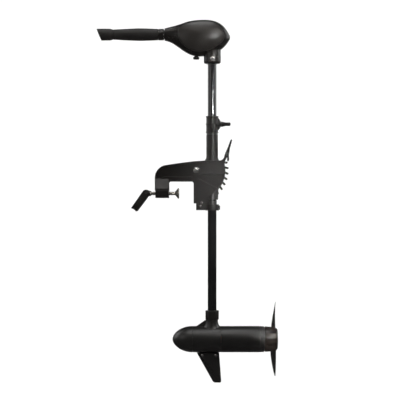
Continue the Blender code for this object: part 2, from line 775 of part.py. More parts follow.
def head_panel(side, sign):
    """Crowned cover let into the head's side, with one long styling crease."""
    middle = Vector((66.0, 483.0))
    points, faces = [], []
    count = len(PANEL_OUTLINE)

    def lift(x, z):
        reach = 1.6
        here = head_side(x, z)
        slope_x = (head_side(x + 1, z) - head_side(x - 1, z)) / 2
        slope_z = (head_side(x, z + 1) - head_side(x, z - 1)) / 2
        normal = Vector((-slope_x, 1.0, -slope_z)).normalized()
        line = CREASE[0] + CREASE[1] * x
        crown = 2.4 * max(0.0, 1 - abs(z - line) / 45.0) * min(1.0, max(0.0, (x + 15) / 60))
        spot = Vector((x, here, z)) + normal * (reach + crown)
        return (spot.x * MM, sign * spot.y * MM, spot.z * MM)

    for k in range(PANEL_RINGS):
        share = 1 - k / PANEL_RINGS
        for corner in PANEL_OUTLINE:
            spot = middle + (Vector(corner) - middle) * share
            points.append(lift(spot.x, spot.y))
    points.append(lift(*middle))
    for k in range(PANEL_RINGS - 1):
        for i in range(count):
            j = (i + 1) % count
            a, b = k * count, (k + 1) * count
            faces.append((a + i, a + j, b + j, b + i))
    last = (PANEL_RINGS - 1) * count
    for i in range(count):
        faces.append((last + i, last + (i + 1) % count, len(points) - 1))
    mesh = bpy.data.meshes.new(f"head_panel_{side}")
    mesh.from_pydata(points, [], faces)
    shape = bmesh.new()
    shape.from_mesh(mesh)
    bmesh.ops.recalc_face_normals(shape, faces=shape.faces)
    shape.faces.ensure_lookup_table()
    if shape.faces[-1].normal.y * sign < 0:
        bmesh.ops.reverse_faces(shape, faces=shape.faces)
    shape.to_mesh(mesh)
    shape.free()
    smooth(mesh)
    panel = place(f"head_panel_{side}", mesh)
    wall = panel.modifiers.new("Wall", "SOLIDIFY")
    wall.thickness = 2.0 * MM
    wall.offset = 1
    return finish(panel, PANEL, DEPTH)


def head_fittings():
    """Through bolt and nut in the socket, cable gland and the hollow speed switch."""
    x, z = SHAFT_X + 1.1, 408.5
    bolt = turned(
        "head_bolt",
        [(0, 34.0), (4.6, 33.2), (6.4, 29.8), (3.0, 29.8), (3.0, -33.5), (0, -33.5)],
        (x, 0, z), "Y", 14, closed=False,
    )
    bolt.rotation_euler = (math.pi / 2, 0, 0)
    finish(bolt, STAINLESS, DEPTH)
    nut = drum("head_nut", 5.8, 29.2, 33.0, (x, 0, z), "Y", 6)
    cut(nut, drum("head_nut_bore", 3.3, 20, 40, (x, 0, z), "Y", 12))
    finish(nut, STAINLESS, DEPTH)
    gland = turned(
        "cable_gland",
        [(6.5, 431.0), (6.5, 416.0), (10.2, 415.0), (10.2, 409.2), (8.6, 407.8),
         (3.4, 407.8), (3.4, 431.0)],
        (50.5, 0, 0), "Z", 16,
    )
    finish(gland, RUBBER, DEPTH)
    switch = turned(
        "speed_switch", ring(27.0, 15.6, 8.0, 34.0), (0, 0, TILLER_Z), "X", 20
    )
    finish(switch, NYLON, DEPTH)
    rotor = turned(
        "twist_collar",
        [
            (14.6, 33.0), (14.6, -56.8), (17.2, -56.8), (19.0, -58.6), (19.0, -73.5),
            (18.0, -75.6), (11.4, -75.6), (11.4, 33.0),
        ],
        (0, 0, TILLER_Z), "X", 18,
    )
    notches = 6
    for k in range(notches):
        a = 2 * math.pi * (k + 0.5) / notches
        cut(rotor, drum(
            f"collar_notch_{k}", 2.0, -70.0, -61.0,
            (0, 19.6 * math.cos(a), TILLER_Z + 19.6 * math.sin(a)), "X", 6,
        ))
    finish(rotor, NYLON, TWIST)


def tiller():
    """Telescoping tube, contoured rubber grip and flared end cap."""
    tube = turned(
        "tiller_tube", ring(11.0, 8.8, -255.0, 92.0), (0, 0, TILLER_Z), "X", 16
    )
    finish(tube, ZINC, REACH)
    grip = turned(
        "tiller_grip",
        [
            (17.4, -76.2), (18.8, -77.6), (20.4, -115.0), (20.8, -138.0),
            (19.0, -186.0), (16.8, -226.6), (11.4, -226.6), (11.4, -76.2),
        ],
        (0, 0, TILLER_Z), "X", 18,
    )
    finish(grip, RUBBER, REACH)
    cap = turned(
        "tiller_end_cap",
        [
            (17.0, -227.0), (19.4, -237.0), (19.7, -262.0), (19.0, -290.0),
            (0, -290.0), (0, -256.0), (11.4, -256.0), (11.4, -227.0),
        ],
        (0, 0, TILLER_Z), "X", 18,
    )
    slope = plate(
        "cap_slope",
        [(-284.5, 515.0), (-264.5, 466.0), (-264.5, 455.0), (-310.0, 455.0), (-310.0, 515.0)],
        -30.0, 30.0,
    )
    cut(cap, slope)
    finish(cap, RUBBER, REACH)


# ---------------------------------------------------------------- lower unit


def lower_unit():
    """Nose cone, centre housing with its neck, motor tube, end bell and skeg."""
    axis = (0, 0, MOTOR_Z)
    nose_long = 66.9
    nose_base = 38.0
    outer, inner = [], []
    for k in range(8):
        a = math.radians(90 * k / 7)
        outer.append((MOTOR_RADIUS * math.sin(a) ** 1.12, nose_base - nose_long * math.cos(a)))
    for k in range(5):
        a = math.radians(90 * k / 4)
        inner.append(((MOTOR_RADIUS - 5) * math.sin(a), nose_base - (nose_long - 10) * math.cos(a)))
    nose = turned("nose_cone", outer[::-1] + inner, axis, "X", MOTOR_STEPS, closed=False)
    links = nose.data
    shape = bmesh.new()
    shape.from_mesh(links)
    shape.verts.ensure_lookup_table()
    shape.edges.new((shape.verts[len(outer) + len(inner) - 1], shape.verts[0]))
    for edge in list(shape.edges):
        ends = sorted(v.index for v in edge.verts)
        if ends == [len(outer) - 1, len(outer)]:
            shape.edges.remove(edge)
    shape.to_mesh(links)
    shape.free()
    finish(nose, PAINT, DEPTH)

    housing = turned(
        "centre_housing", rod(MOTOR_RADIUS, nose_base + GAP, 132.7), axis, "X", MOTOR_STEPS,
        closed=False,
    )
    neck_x = SHAFT_X - 1.0
    join(
        housing,
        turned(
            "neck",
            [(0, -461.2), (20.4, -461.2), (20.6, -474.0), (22.6, -480.0), (27.0, -485.5),
             (27.0, -492.0), (0, -492.0)],
            (neck_x, 0, 0), "Z", 20, closed=False,
        ),
        plate(
            "neck_gusset",
            [(46.5, -486.5), (57.0, -478.5), (80.5, -462.5), (92.0, -462.5), (92.0, -490.0),
             (46.5, -490.0)],
            -5.0, 5.0,
        ),
        plate(
            "keel_lug",
            [(58.0, -564.0), (66.0, -587.0), (122.5, -587.0), (122.0, -564.0)],
            -2.5, 2.5,
        ),
    )
    cut(
        housing,
        drum("housing_bore", 38.2, 30, 140, axis, "X", MOTOR_STEPS),
        drum("neck_bore", SHAFT_RADIUS + GAP, SHAFT_BOTTOM - 0.5, -455, (SHAFT_X, 0, 0), "Z", 20),
        drum("neck_wire_bore", 10.0, -495, -480, (SHAFT_X, 0, 0), "Z", 12),
    )
    finish(housing, PAINT, DEPTH)

    nut = slab("coupling_nut", hexagon(2 * 22.4), -460.6, -430.0)
    nut.location.x = SHAFT_X * MM
    round_edges(nut, 2.2, 1, 50)
    cut(nut, drum("nut_bore", SHAFT_RADIUS + GAP, -470, -420, (SHAFT_X, 0, 0), "Z", 20))
    finish(nut, NYLON, DEPTH)

    tube = turned(
        "motor_tube", ring(MOTOR_RADIUS, 38.4, 133.1, 262.0), axis, "X", MOTOR_STEPS
    )
    finish(tube, PAINT, DEPTH)
    bell = turned(
        "end_bell",
        [
            (40.0, 278.3), (42.6, 276.0), (43.2, 262.4), (38.0, 262.4), (38.0, 250.0),
            (13.4, 250.0), (13.4, 261.6), (5.8, 261.6), (5.8, 268.0), (11.4, 268.0),
            (11.4, 278.3),
        ],
        axis, "X", MOTOR_STEPS,
    )
    finish(bell, PAINT, DEPTH)
    skeg()


SKEG_TOP = -569.8
SKEG_LOW = -671.0


def skeg():
    """Swept fin that straddles the keel lug, thick at the root and thin at the tip."""
    outline = [
        (52.0, SKEG_TOP - 0.6), (106.0, -667.5), (109.0, -670.2), (112.5, SKEG_LOW),
        (129.5, SKEG_LOW), (132.6, -670.0), (134.0, -667.0), (126.8, SKEG_TOP - 0.6),
    ]
    fin = plate("skeg", outline, -6.5, 6.5)
    shape = bmesh.new()
    shape.from_mesh(fin.data)
    for vert in shape.verts:
        share = (vert.co.z / MM - SKEG_LOW) / (SKEG_TOP - SKEG_LOW)
        vert.co.y *= 0.34 + 0.66 * share
    shape.to_mesh(fin.data)
    shape.free()
    round_edges(fin, 1.6, 1, 50)
    cut(fin, plate(
        "skeg_slot",
        [(57.0, -560.0), (64.8, -587.5), (123.2, -587.5), (122.8, -560.0)],
        -2.8, 2.8,
    ))
    for k, x in enumerate((70.8, 116.6)):
        cut(fin, drum(f"skeg_bore_{k}", 3.2, -20, 20, (x, 0, -579.0), "Y", 12))
    for k, (name, x) in enumerate((("front", 70.8), ("rear", 116.6))):
        cut(bpy.data.objects["centre_housing"], drum(
            f"lug_bore_{k}", 3.2, -20, 20, (x, 0, -579.0), "Y", 12,
        ))
        screw = turned(
            f"skeg_screw_{name}",
            [(0, 9.4), (3.0, 8.9), (4.9, 6.7), (2.8, 6.7), (2.8, -6.4), (0, -6.4)],
            (x, 0, -579.0), "Y", 12, closed=False,
        )
        screw.rotation_euler = (math.pi / 2, 0, 0)
        finish(screw, STAINLESS, DEPTH)
    finish(fin, PAINT, DEPTH)


def motor_works():
    """The permanent-magnet motor inside the tube."""
    axis = (0, 0, MOTOR_Z)
    for name, start in (("magnet_upper", 25), ("magnet_lower", 205)):
        outline = arc((0, MOTOR_Z), 38.0, start, start + 130, 12)
        outline += arc((0, MOTOR_Z), 31.0, start + 130, start, 12)
        finish(cross_slab(name, outline, 150.0, 236.0), FERRITE, DEPTH)
    carrier = turned(
        "bearing_carrier", ring(37.6, 11.5, 58.0, 66.0), axis, "X", 20
    )
    finish(carrier, LAMINATION, DEPTH)
    for name, low, high, outer in (
        ("front_bearing", 58.2, 65.8, 11.1), ("rear_bearing", 252.0, 261.2, 13.1),
    ):
        finish(turned(name, ring(outer, 5.3, low, high), axis, "X", 16), STAINLESS, DEPTH)
    seal = turned("shaft_seal", ring(11.1, 5.3, 268.4, 277.0), axis, "X", 16)
    finish(seal, RUBBER, DEPTH)
    brush_plate = turned("brush_plate", ring(37.6, 14.5, 106.0, 111.0), axis, "X", 20)
    finish(brush_plate, NYLON, DEPTH)
    for name, sign in (("brush_upper", 1), ("brush_lower", -1)):
        low, high = sorted((MOTOR_Z + sign * 12.4, MOTOR_Z + sign * 27.0))
        brush = box(name, (116.0, -4.5, low), (130.0, 4.5, high))
        finish(brush, CARBON, DEPTH)

    shaft = turned(
        "motor_shaft", rod(5.0, 54.0, 317.0), axis, "X", 12, closed=False
    )
    cut(shaft, drum("shear_bore", 2.3, -30, 30, (286.4, 0, MOTOR_Z), "Y", 12))
    finish(shaft, STAINLESS, PROP)
    slots = 12
    outline = []
    for k in range(slots):
        a = 360 * k / slots
        outline += arc((0, MOTOR_Z), 29.5, a - 12.5, a + 12.5, 1)
        outline += arc((0, MOTOR_Z), 17.0, a + 13.0, a + 17.0, 1)
    core = cross_slab("armature_core", outline, 154.0, 232.0)
    cut(core, drum("core_bore", 5.3, 140, 240, axis, "X", 16))
    finish(core, LAMINATION, PROP)
    for name, low, high in (("winding_front", 140.0, 153.7), ("winding_rear", 232.3, 246.0)):
        coil = turned(name, ring(26.5, 9.0, low, high, 4.0), axis, "X", 12)
        finish(coil, WIRE, PROP)
    commutator = turned("commutator", ring(12.0, 5.3, 113.5, 134.0), axis, "X", 16)
    finish(commutator, WIRE, PROP)


# ---------------------------------------------------------------- propeller

BLADE = (  # radius, chord, pitch angle in degrees, thickness, rake aft
    (30.0, 40.0, 24.0, 5.0, 307.0),
    (44.0, 45.0, 20.5, 4.6, 307.2),
    (60.0, 50.0, 16.5, 4.0, 307.9),
    (76.0, 52.0, 13.0, 3.4, 308.9),
    (92.0, 49.0, 10.5, 2.8, 310.2),
    (106.0, 41.0, 8.5, 2.2, 311.6),
    (117.0, 28.0, 7.0, 1.7, 312.9),
    (PROP_RADIUS, 10.0, 6.0, 1.2, 314.0),
)


def blade_mesh(turn):
    """One blade: lens-shaped sections, twisted to the pitch and swept back at the tip."""
    half = 5
    points, faces = [], []
    for radius, chord, pitch, thick, rake in BLADE:
        sweep = 0.12 * (radius - 30.0) ** 2 / 90.0
        ring_points = []
        for k in range(2 * half):
            a = math.pi * k / half
            along = -math.cos(a) * chord / 2
            depth = math.sin(a) * thick / 2
            ring_points.append((along, depth))
        p = math.radians(pitch)
        for along, depth in ring_points:
            x = rake + along * math.sin(p) + depth * math.cos(p)
            y = along * math.cos(p) - depth * math.sin(p) - sweep
            points.append(Vector((x, y, radius)))
    count = 2 * half
    for i in range(len(BLADE) - 1):
        for k in range(count):
            j = (k + 1) % count
            faces.append((i * count + k, i * count + j, (i + 1) * count + j, (i + 1) * count + k))
    faces.append(tuple(range(count))[::-1])
    faces.append(tuple(range((len(BLADE) - 1) * count, len(BLADE) * count)))
    spin = Matrix.Rotation(turn, 3, "X")
    placed = [tuple((spin @ p) * MM) for p in points]
    mesh = bpy.data.meshes.new("blade")
    mesh.from_pydata(placed, [], faces)
    shape = bmesh.new()
    shape.from_mesh(mesh)
    bmesh.ops.recalc_face_normals(shape, faces=shape.faces)
    shape.to_mesh(mesh)
    shape.free()
    smooth(mesh, 50)
    return mesh


def propeller():
    """Two-bladed weed propeller on a wide hub, driven by a shear pin."""
    axis = (0, 0, MOTOR_Z)
    hub = turned(
        "propeller",
        [
            (13.0, 321.3), (33.0, 321.3), (37.8, 316.4), (40.4, 302.0),
            (42.2, 279.6), (38.4, 279.6), (36.6, 297.0), (14.0, 297.0),
            (14.0, 284.0), (5.4, 284.0), (5.4, 308.0), (13.0, 308.0),
        ],
        axis, "X", MOTOR_STEPS,
    )
    for k, turn in enumerate((0.0, math.pi)):
        join(hub, place(f"blade_{k + 1}", blade_mesh(turn), axis))
    cut(hub, box(
        "shear_slot", (283.0, -15.5, MOTOR_Z - 2.4), (288.8, 15.5, MOTOR_Z + 2.4),
    ))
    finish(hub, PROP_NYLON, PROP)
    pin = turned("shear_pin", rod(2.0, -13.0, 13.0), (286.4, 0, MOTOR_Z), "Y", 10, closed=False)
    finish(pin, STAINLESS, PROP)
    nut = drum("propeller_nut", 9.6, 308.4, 315.6, axis, "X", 6)
    cut(nut, drum("propeller_nut_bore", 5.3, 300, 325, axis, "X", 16))
    finish(nut, STAINLESS, PROP)


clamp_bracket()
pivot_bolt()
clamp_screws()
tilt_hinge()
tilt_lever()
lever_spring()
depth_collar()
shaft_tube()
for side_name, side_sign in SIDES.items():
    head_shell(side_name, side_sign)
    head_panel(side_name, side_sign)
head_fittings()
tiller()
lower_unit()
motor_works()
propeller()
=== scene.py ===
"""Looks for the trolling motor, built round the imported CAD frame. Metres; +Z up, +X aft."""

import json  # noqa: E402
import math  # noqa: E402

import bmesh  # noqa: E402
import bpy  # noqa: E402
import numpy as np  # noqa: E402
from mathutils import Matrix, Vector  # noqa: E402


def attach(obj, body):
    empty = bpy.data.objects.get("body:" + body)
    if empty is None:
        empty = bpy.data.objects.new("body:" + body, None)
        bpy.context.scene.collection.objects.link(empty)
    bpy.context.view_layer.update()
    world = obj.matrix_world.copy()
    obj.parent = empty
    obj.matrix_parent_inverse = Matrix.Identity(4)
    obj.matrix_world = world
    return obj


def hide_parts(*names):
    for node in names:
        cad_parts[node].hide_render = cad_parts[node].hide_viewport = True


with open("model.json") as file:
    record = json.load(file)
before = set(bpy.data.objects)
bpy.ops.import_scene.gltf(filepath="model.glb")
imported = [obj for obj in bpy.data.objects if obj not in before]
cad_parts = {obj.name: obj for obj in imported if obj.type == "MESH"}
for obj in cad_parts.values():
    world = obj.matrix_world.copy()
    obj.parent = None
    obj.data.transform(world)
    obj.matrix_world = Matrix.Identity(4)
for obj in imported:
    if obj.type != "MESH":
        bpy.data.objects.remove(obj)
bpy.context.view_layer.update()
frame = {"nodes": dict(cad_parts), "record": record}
NODES = frame["nodes"]
SCENE = bpy.context.scene
MM = 0.001

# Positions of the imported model, in millimetres
SHAFT_X = 103.4
PIVOT = (50.4, 36.4)
PIVOT_AXLE = (50.4, 0, 36.4)
LEVER_AXLE = (152.0, 0, 92.0)
MOTOR_Z = -525.9
MOTOR_RADIUS = 43.4
TILLER_Z = 490.7
SCREW_Y = 36.0
SCREW_Z = -39.7
KNOB_Z = 191.4


# ---------------------------------------------------------------- node helpers


class Look:
    """A material's node tree with short calls for the nodes used below."""

    def __init__(self, name):
        self.material = bpy.data.materials.new(name)
        self.material.use_nodes = True
        self.tree = self.material.node_tree
        self.shader = self.tree.nodes["Principled BSDF"]
        self.place = self.node("ShaderNodeTexCoord").outputs["Object"]

    def node(self, kind, **settings):
        made = self.tree.nodes.new(kind)
        for key, value in settings.items():
            setattr(made, key, value)
        return made

    def feed(self, socket, value):
        if isinstance(value, bpy.types.NodeSocket):
            self.tree.links.new(value, socket)
        else:
            socket.default_value = value

    def stretch(self, scale):
        """Object coordinates scaled along each axis."""
        mapping = self.node("ShaderNodeMapping")
        self.feed(mapping.inputs["Vector"], self.place)
        mapping.inputs["Scale"].default_value = scale
        return mapping.outputs["Vector"]

    def noise(self, scale, detail=3.0, rough=0.55, where=None):
        made = self.node("ShaderNodeTexNoise")
        self.feed(made.inputs["Vector"], where or self.place)
        made.inputs["Scale"].default_value = scale
        made.inputs["Detail"].default_value = detail
        made.inputs["Roughness"].default_value = rough
        return made.outputs["Fac"]

    def ramp(self, value, stops):
        """Maps a value through (position, grey or colour) stops."""
        made = self.node("ShaderNodeValToRGB")
        self.feed(made.inputs["Fac"], value)
        elements = made.color_ramp.elements
        while len(elements) > 1:
            elements.remove(elements[-1])
        for k, (at, colour) in enumerate(stops):
            element = elements[0] if k == 0 else elements.new(at)
            element.position = at
            tone = colour if isinstance(colour, tuple) else (colour,) * 3
            element.color = (*tone, 1.0)
        return made.outputs["Color"]

    def math(self, operation, a, b=0.0, clamp=False):
        made = self.node("ShaderNodeMath", operation=operation, use_clamp=clamp)
        self.feed(made.inputs[0], a)
        self.feed(made.inputs[1], b)
        return made.outputs["Value"]

    def mix(self, share, a, b):
        made = self.node("ShaderNodeMix", data_type="RGBA")
        self.feed(made.inputs["Factor"], share)
        for socket, value in ((made.inputs[6], a), (made.inputs[7], b)):
            self.feed(socket, (*value, 1.0) if isinstance(value, tuple) else value)
        return made.outputs[2]

    def edge(self, radius):
        """How close a point is to a sharp edge: 0 on a flat, towards 1 at the edge."""
        rounded = self.node("ShaderNodeBevel", samples=4)
        rounded.inputs["Radius"].default_value = radius
        true = self.node("ShaderNodeNewGeometry").outputs["Normal"]
        dot = self.node("ShaderNodeVectorMath", operation="DOT_PRODUCT")
        self.feed(dot.inputs[0], rounded.outputs["Normal"])
        self.feed(dot.inputs[1], true)
        return self.math("SUBTRACT", 1.0, dot.outputs["Value"], clamp=True)

    def bump(self, heights, radius=0.0):
        """Chains (height, strength, distance) bumps, over rounded edges if asked."""
        normal = None
        if radius:
            rounded = self.node("ShaderNodeBevel", samples=4)
            rounded.inputs["Radius"].default_value = radius
            normal = rounded.outputs["Normal"]
        for height, strength, distance in heights:
            made = self.node("ShaderNodeBump")
            made.inputs["Strength"].default_value = strength
            made.inputs["Distance"].default_value = distance
            self.feed(made.inputs["Height"], height)
            if normal is not None:
                self.feed(made.inputs["Normal"], normal)
            normal = made.outputs["Normal"]
        if normal is not None:
            self.feed(self.shader.inputs["Normal"], normal)

    def set(self, **sockets):
        for key, value in sockets.items():
            self.feed(self.shader.inputs[key.replace("_", " ")], value)
        return self


def tone(base, share):
    return tuple(c * share for c in base)


def moulded(name, colour, rough, grain=1.0, wear_and_highlight=0.5, edge=0.0007):
    """Glass-filled nylon: fine spark-eroded grain, faint flow marks, and paler edges that are partly rubbed
    wear and partly painted highlight.
    """
    look = Look(name)
    cloud = look.noise(16.0, 4.0, 0.6)
    flow = look.noise(9.0, 2.0, 0.5, look.stretch((1.0, 3.0, 5.0)))
    body = look.ramp(cloud, [(0.3, tone(colour, 0.78)), (0.7, tone(colour, 1.22))])
    body = look.mix(look.math("MULTIPLY", flow, 0.35), body, tone(colour, 1.35))
    # Paler edges: partly rubbed wear, partly a painted highlight that brightens rims and beads as if lit.
    patches = look.ramp(look.noise(140.0, 5.0, 0.7), [(0.42, 0.0), (0.62, 1.0)])
    rubbed_and_lit_edges = look.math("MULTIPLY", look.edge(0.0012), patches)
    rubbed_and_lit_edges = look.math("MULTIPLY", rubbed_and_lit_edges, wear_and_highlight * 2.2, clamp=True)
    body = look.mix(rubbed_and_lit_edges, body, tone(colour, 4.2))
    smear = look.noise(26.0, 5.0, 0.65)
    look.set(Base_Color=body, Roughness=look.ramp(smear, [(0.25, rough - 0.07), (0.75, rough + 0.09)]))
    pebble = look.noise(1500.0, 3.0, 0.6)
    swell = look.noise(45.0, 2.0, 0.5)
    look.bump([(pebble, 0.12 * grain, 0.0003), (swell, 0.05, 0.0012)], edge)
    look.shader.inputs["Specular IOR Level"].default_value = 0.32
    return look.material


def glossy_tube(name, colour):
    """Pultruded composite: polished, with faint lengthwise drawing lines and fine scuffs."""
    look = Look(name)
    lines = look.noise(420.0, 3.0, 0.6, look.stretch((1.0, 1.0, 0.012)))
    cloud = look.noise(11.0, 3.0, 0.6)
    streaks = look.noise(230.0, 6.0, 0.75, look.stretch((1.0, 1.0, 0.22)))
    scuffs = look.ramp(streaks, [(0.62, 0.0), (0.74, 1.0)])
    body = look.ramp(cloud, [(0.3, tone(colour, 0.8)), (0.7, tone(colour, 1.25))])
    body = look.mix(look.math("MULTIPLY", scuffs, 0.22), body, tone(colour, 5.0))
    rough = look.ramp(lines, [(0.3, 0.07), (0.7, 0.13)])
    rough = look.mix(look.math("MULTIPLY", scuffs, 0.5), rough, (0.42, 0.42, 0.42))
    look.set(Base_Color=body, Roughness=rough)
    look.bump([(lines, 0.06, 0.0002)], 0.0004)
    look.shader.inputs["Specular IOR Level"].default_value = 0.5
    return look.material


def enamel(name, colour, rough):
    """Sprayed semi-gloss enamel on a casting: orange peel, dust specks and thin edges."""
    look = Look(name)
    cloud = look.noise(12.0, 4.0, 0.6)
    body = look.ramp(cloud, [(0.3, tone(colour, 0.82)), (0.7, tone(colour, 1.2))])
    specks = look.ramp(look.noise(900.0, 2.0, 0.5), [(0.70, 0.0), (0.76, 1.0)])
    body = look.mix(look.math("MULTIPLY", specks, 0.35), body, tone(colour, 3.5))
    patches = look.ramp(look.noise(160.0, 5.0, 0.7), [(0.5, 0.0), (0.66, 1.0)])
    worn = look.math("MULTIPLY", look.edge(0.001), patches)
    body = look.mix(look.math("MULTIPLY", worn, 1.6, clamp=True), body, (0.16, 0.155, 0.15))
    smear = look.noise(20.0, 4.0, 0.6)
    look.set(Base_Color=body, Roughness=look.ramp(smear, [(0.25, rough - 0.05), (0.75, rough + 0.08)]))
    peel = look.noise(520.0, 2.0, 0.5)
    look.bump([(peel, 0.10, 0.0003), (look.noise(40.0, 2.0, 0.5), 0.04, 0.001)], 0.0007)
    look.shader.inputs["Specular IOR Level"].default_value = 0.5
    return look.material


def rubber(name, colour):
    """Matt thermoplastic rubber with a fine leather-like texture and dusty hollows."""
    look = Look(name)
    cells = look.node("ShaderNodeTexVoronoi")
    look.feed(cells.inputs["Vector"], look.place)
    cells.inputs["Scale"].default_value = 900.0
    pits = look.ramp(cells.outputs["Distance"], [(0.05, 0.0), (0.5, 1.0)])
    cloud = look.noise(18.0, 4.0, 0.65)
    body = look.ramp(cloud, [(0.3, tone(colour, 0.8)), (0.7, tone(colour, 1.3))])
    dust = look.math("MULTIPLY", look.ramp(look.noise(60.0, 5.0, 0.7), [(0.5, 0.0), (0.75, 1.0)]), 0.22)
    body = look.mix(dust, body, tone(colour, 2.6))
    look.set(Base_Color=body, Roughness=look.ramp(cloud, [(0.3, 0.5), (0.7, 0.64)]))
    look.bump([(pits, 0.14, 0.0002)], 0.0006)
    look.shader.inputs["Specular IOR Level"].default_value = 0.36
    return look.material


def metal(name, colour, rough, brushed=(1.0, 1.0, 1.0), tarnish=0.25):
    """Bright plated or stainless steel: machining lines, cloudy tarnish and fine pits."""
    look = Look(name)
    lines = look.noise(700.0, 3.0, 0.65, look.stretch(brushed))
    cloud = look.noise(55.0, 5.0, 0.65)
    body = look.ramp(cloud, [(0.3, tone(colour, 1.05)), (0.75, tone(colour, 1.0 - tarnish))])
    pits = look.ramp(look.noise(1300.0, 3.0, 0.6), [(0.66, 0.0), (0.74, 1.0)])
    body = look.mix(look.math("MULTIPLY", pits, 0.3), body, tone(colour, 0.35))
    shine = look.ramp(lines, [(0.3, rough - 0.06), (0.7, rough + 0.1)])
    look.set(Base_Color=body, Roughness=shine, Metallic=1.0)
    look.bump([(lines, 0.08, 0.0002)], 0.0004)
    return look.material


def dull(name, colour, rough, metallic=0.0, grain=600.0):
    """Inner parts: ferrite, laminations, copper, carbon and bearing plastic."""
    look = Look(name)
    cloud = look.noise(50.0, 4.0, 0.6)
    body = look.ramp(cloud, [(0.3, tone(colour, 0.75)), (0.7, tone(colour, 1.2))])
    shine = look.ramp(cloud, [(0.3, rough - 0.08), (0.7, rough + 0.08)])
    look.set(Base_Color=body, Roughness=shine, Metallic=metallic)
    look.bump([(look.noise(grain, 3.0, 0.6), 0.2, 0.0003)], 0.0004)
    return look.material


BLACK = (0.0090, 0.0079, 0.0072)
NYLON = moulded("nylon_black", BLACK, 0.34, 1.0, 1.0)
HINGE = moulded("nylon_hinge", tone(BLACK, 1.05), 0.38, 0.8)
HEAD_GLOSS = moulded("head_satin", tone(BLACK, 0.85), 0.28, 0.6, 0.35)
PANEL = moulded("panel_satin", (0.0165, 0.0145, 0.0132), 0.33, 0.7, 0.3)
TUBE = glossy_tube("composite_gloss", (0.0075, 0.0075, 0.0078))
ENAMEL = enamel("enamel_black", (0.0082, 0.0074, 0.0070), 0.40)
RUBBER = rubber("grip_rubber", (0.0095, 0.0085, 0.0080))
PROP = moulded("propeller_gloss", (0.0115, 0.0088, 0.0076), 0.13, 0.25, 0.3)
STEEL = metal("stainless", (0.72, 0.71, 0.69), 0.2, (1.0, 6.0, 1.0), 0.18)
ZINC = metal("zinc_plate", (0.76, 0.73, 0.67), 0.22, (6.0, 1.0, 1.0), 0.25)
ACETAL = dull("acetal", (0.014, 0.014, 0.014), 0.34)
IRON = dull("iron_laminations", (0.30, 0.30, 0.31), 0.45, 1.0)
FERRITE = dull("ferrite", (0.05, 0.05, 0.055), 0.6)
COPPER = dull("copper_enamelled", (0.60, 0.25, 0.11), 0.35, 1.0, 900.0)
CARBON = dull("carbon", (0.03, 0.03, 0.03), 0.6)
TICK = dull("tick_paint", (0.62, 0.62, 0.60), 0.45)

BY_SLOT = {
    "bracket_nylon": NYLON, "hinge_nylon": HINGE, "head_plastic": HEAD_GLOSS, "panel_plastic": PANEL,
    "composite_tube": TUBE, "enamel": ENAMEL, "grip_rubber": RUBBER, "propeller_nylon": PROP,
    "stainless": STEEL, "zinc": ZINC, "acetal": ACETAL, "iron": IRON, "ferrite": FERRITE,
    "copper": COPPER, "carbon": CARBON,
}
SLOT_OF = {part["node"]: part["material_slot"] for part in frame["record"]["subparts"]}
for node_name, node in NODES.items():
    node.data.materials.clear()
    node.data.materials.append(BY_SLOT[SLOT_OF[node_name]])
    node.data.shade_smooth()
    node.data.set_sharp_from_angle(angle=math.radians(32))


# ---------------------------------------------------------------- mesh helpers


def built(name, *shapes, angle=35.0):
    """One clean mesh from several (points in millimetres, faces) shapes."""
    points, faces = [], []
    for some_points, some_faces in shapes:
        start = len(points)
        points += [tuple(c * MM for c in p) for p in some_points]
        faces += [tuple(start + i for i in face) for face in some_faces]
    mesh = bpy.data.meshes.new(name)
    mesh.from_pydata(points, [], faces)
    shape = bmesh.new()
    shape.from_mesh(mesh)
    bmesh.ops.remove_doubles(shape, verts=shape.verts, dist=2e-6)
    bmesh.ops.recalc_face_normals(shape, faces=shape.faces)
    shape.to_mesh(mesh)
    shape.free()
    mesh.shade_smooth()
    mesh.set_sharp_from_angle(angle=math.radians(angle))
    return mesh


def show(mesh, body, *stands_for, look=None, slot=None):
    """Puts a mesh in the scene on its body, in the material and place of the CAD nodes it replaces."""
    made = bpy.data.objects.new(mesh.name, mesh)
    SCENE.collection.objects.link(made)
    slot = slot or SLOT_OF[stands_for[0]]
    mesh.materials.append(look or BY_SLOT[slot])
    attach(made, body)
    if stands_for:
        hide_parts(*stands_for)
    return made


def lathe(profile, axis, centre, steps=96, start=0.0, sweep=360.0):
    """A (radius, height) profile turned round an axis, with its ends closed if it stops short."""
    full = sweep > 359.0
    count = steps if full else steps + 1
    points, faces = [], []
    for radius, height in profile:
        for k in range(count):
            a = math.radians(start + sweep * k / steps)
            c, s = radius * math.cos(a), radius * math.sin(a)
            spot = {"X": (height, c, s), "Y": (s, height, c), "Z": (c, s, height)}[axis]
            points.append(tuple(p + o for p, o in zip(spot, centre)))
    for i in range(len(profile) - 1):
        for k in range(steps):
            j = (k + 1) % count
            a, b = i * count, (i + 1) * count
            faces.append((a + k, a + j, b + j, b + k))
    if not full:
        faces.append(tuple(i * count for i in range(len(profile))))
        faces.append(tuple(i * count + steps for i in range(len(profile)))[::-1])
    return points, faces


def turned(line, corner, axis, centre, steps=96, start=0.0, sweep=360.0):
    """A profile with rounded corners turned round an axis."""
    return lathe(rounded(line, corner), axis, centre, steps, start, sweep)


def rounded(line, radius, closed=False, steps=4):
    """A line of points with its corners rounded off."""
    spots = [Vector(p) for p in line]
    count = len(spots)
    made = [] if closed else [tuple(spots[0])]
    for k in range(count) if closed else range(1, count - 1):
        before, corner, after = spots[k - 1], spots[k], spots[(k + 1) % count]
        reach = min(radius, (before - corner).length * 0.48, (after - corner).length * 0.48)
        first = corner + (before - corner).normalized() * reach
        last = corner + (after - corner).normalized() * reach
        for i in range(steps + 1):
            t = i / steps
            made.append(tuple(first * (1 - t) ** 2 + corner * (2 * t * (1 - t)) + last * t * t))
    if not closed:
        made.append(tuple(spots[-1]))
    return made


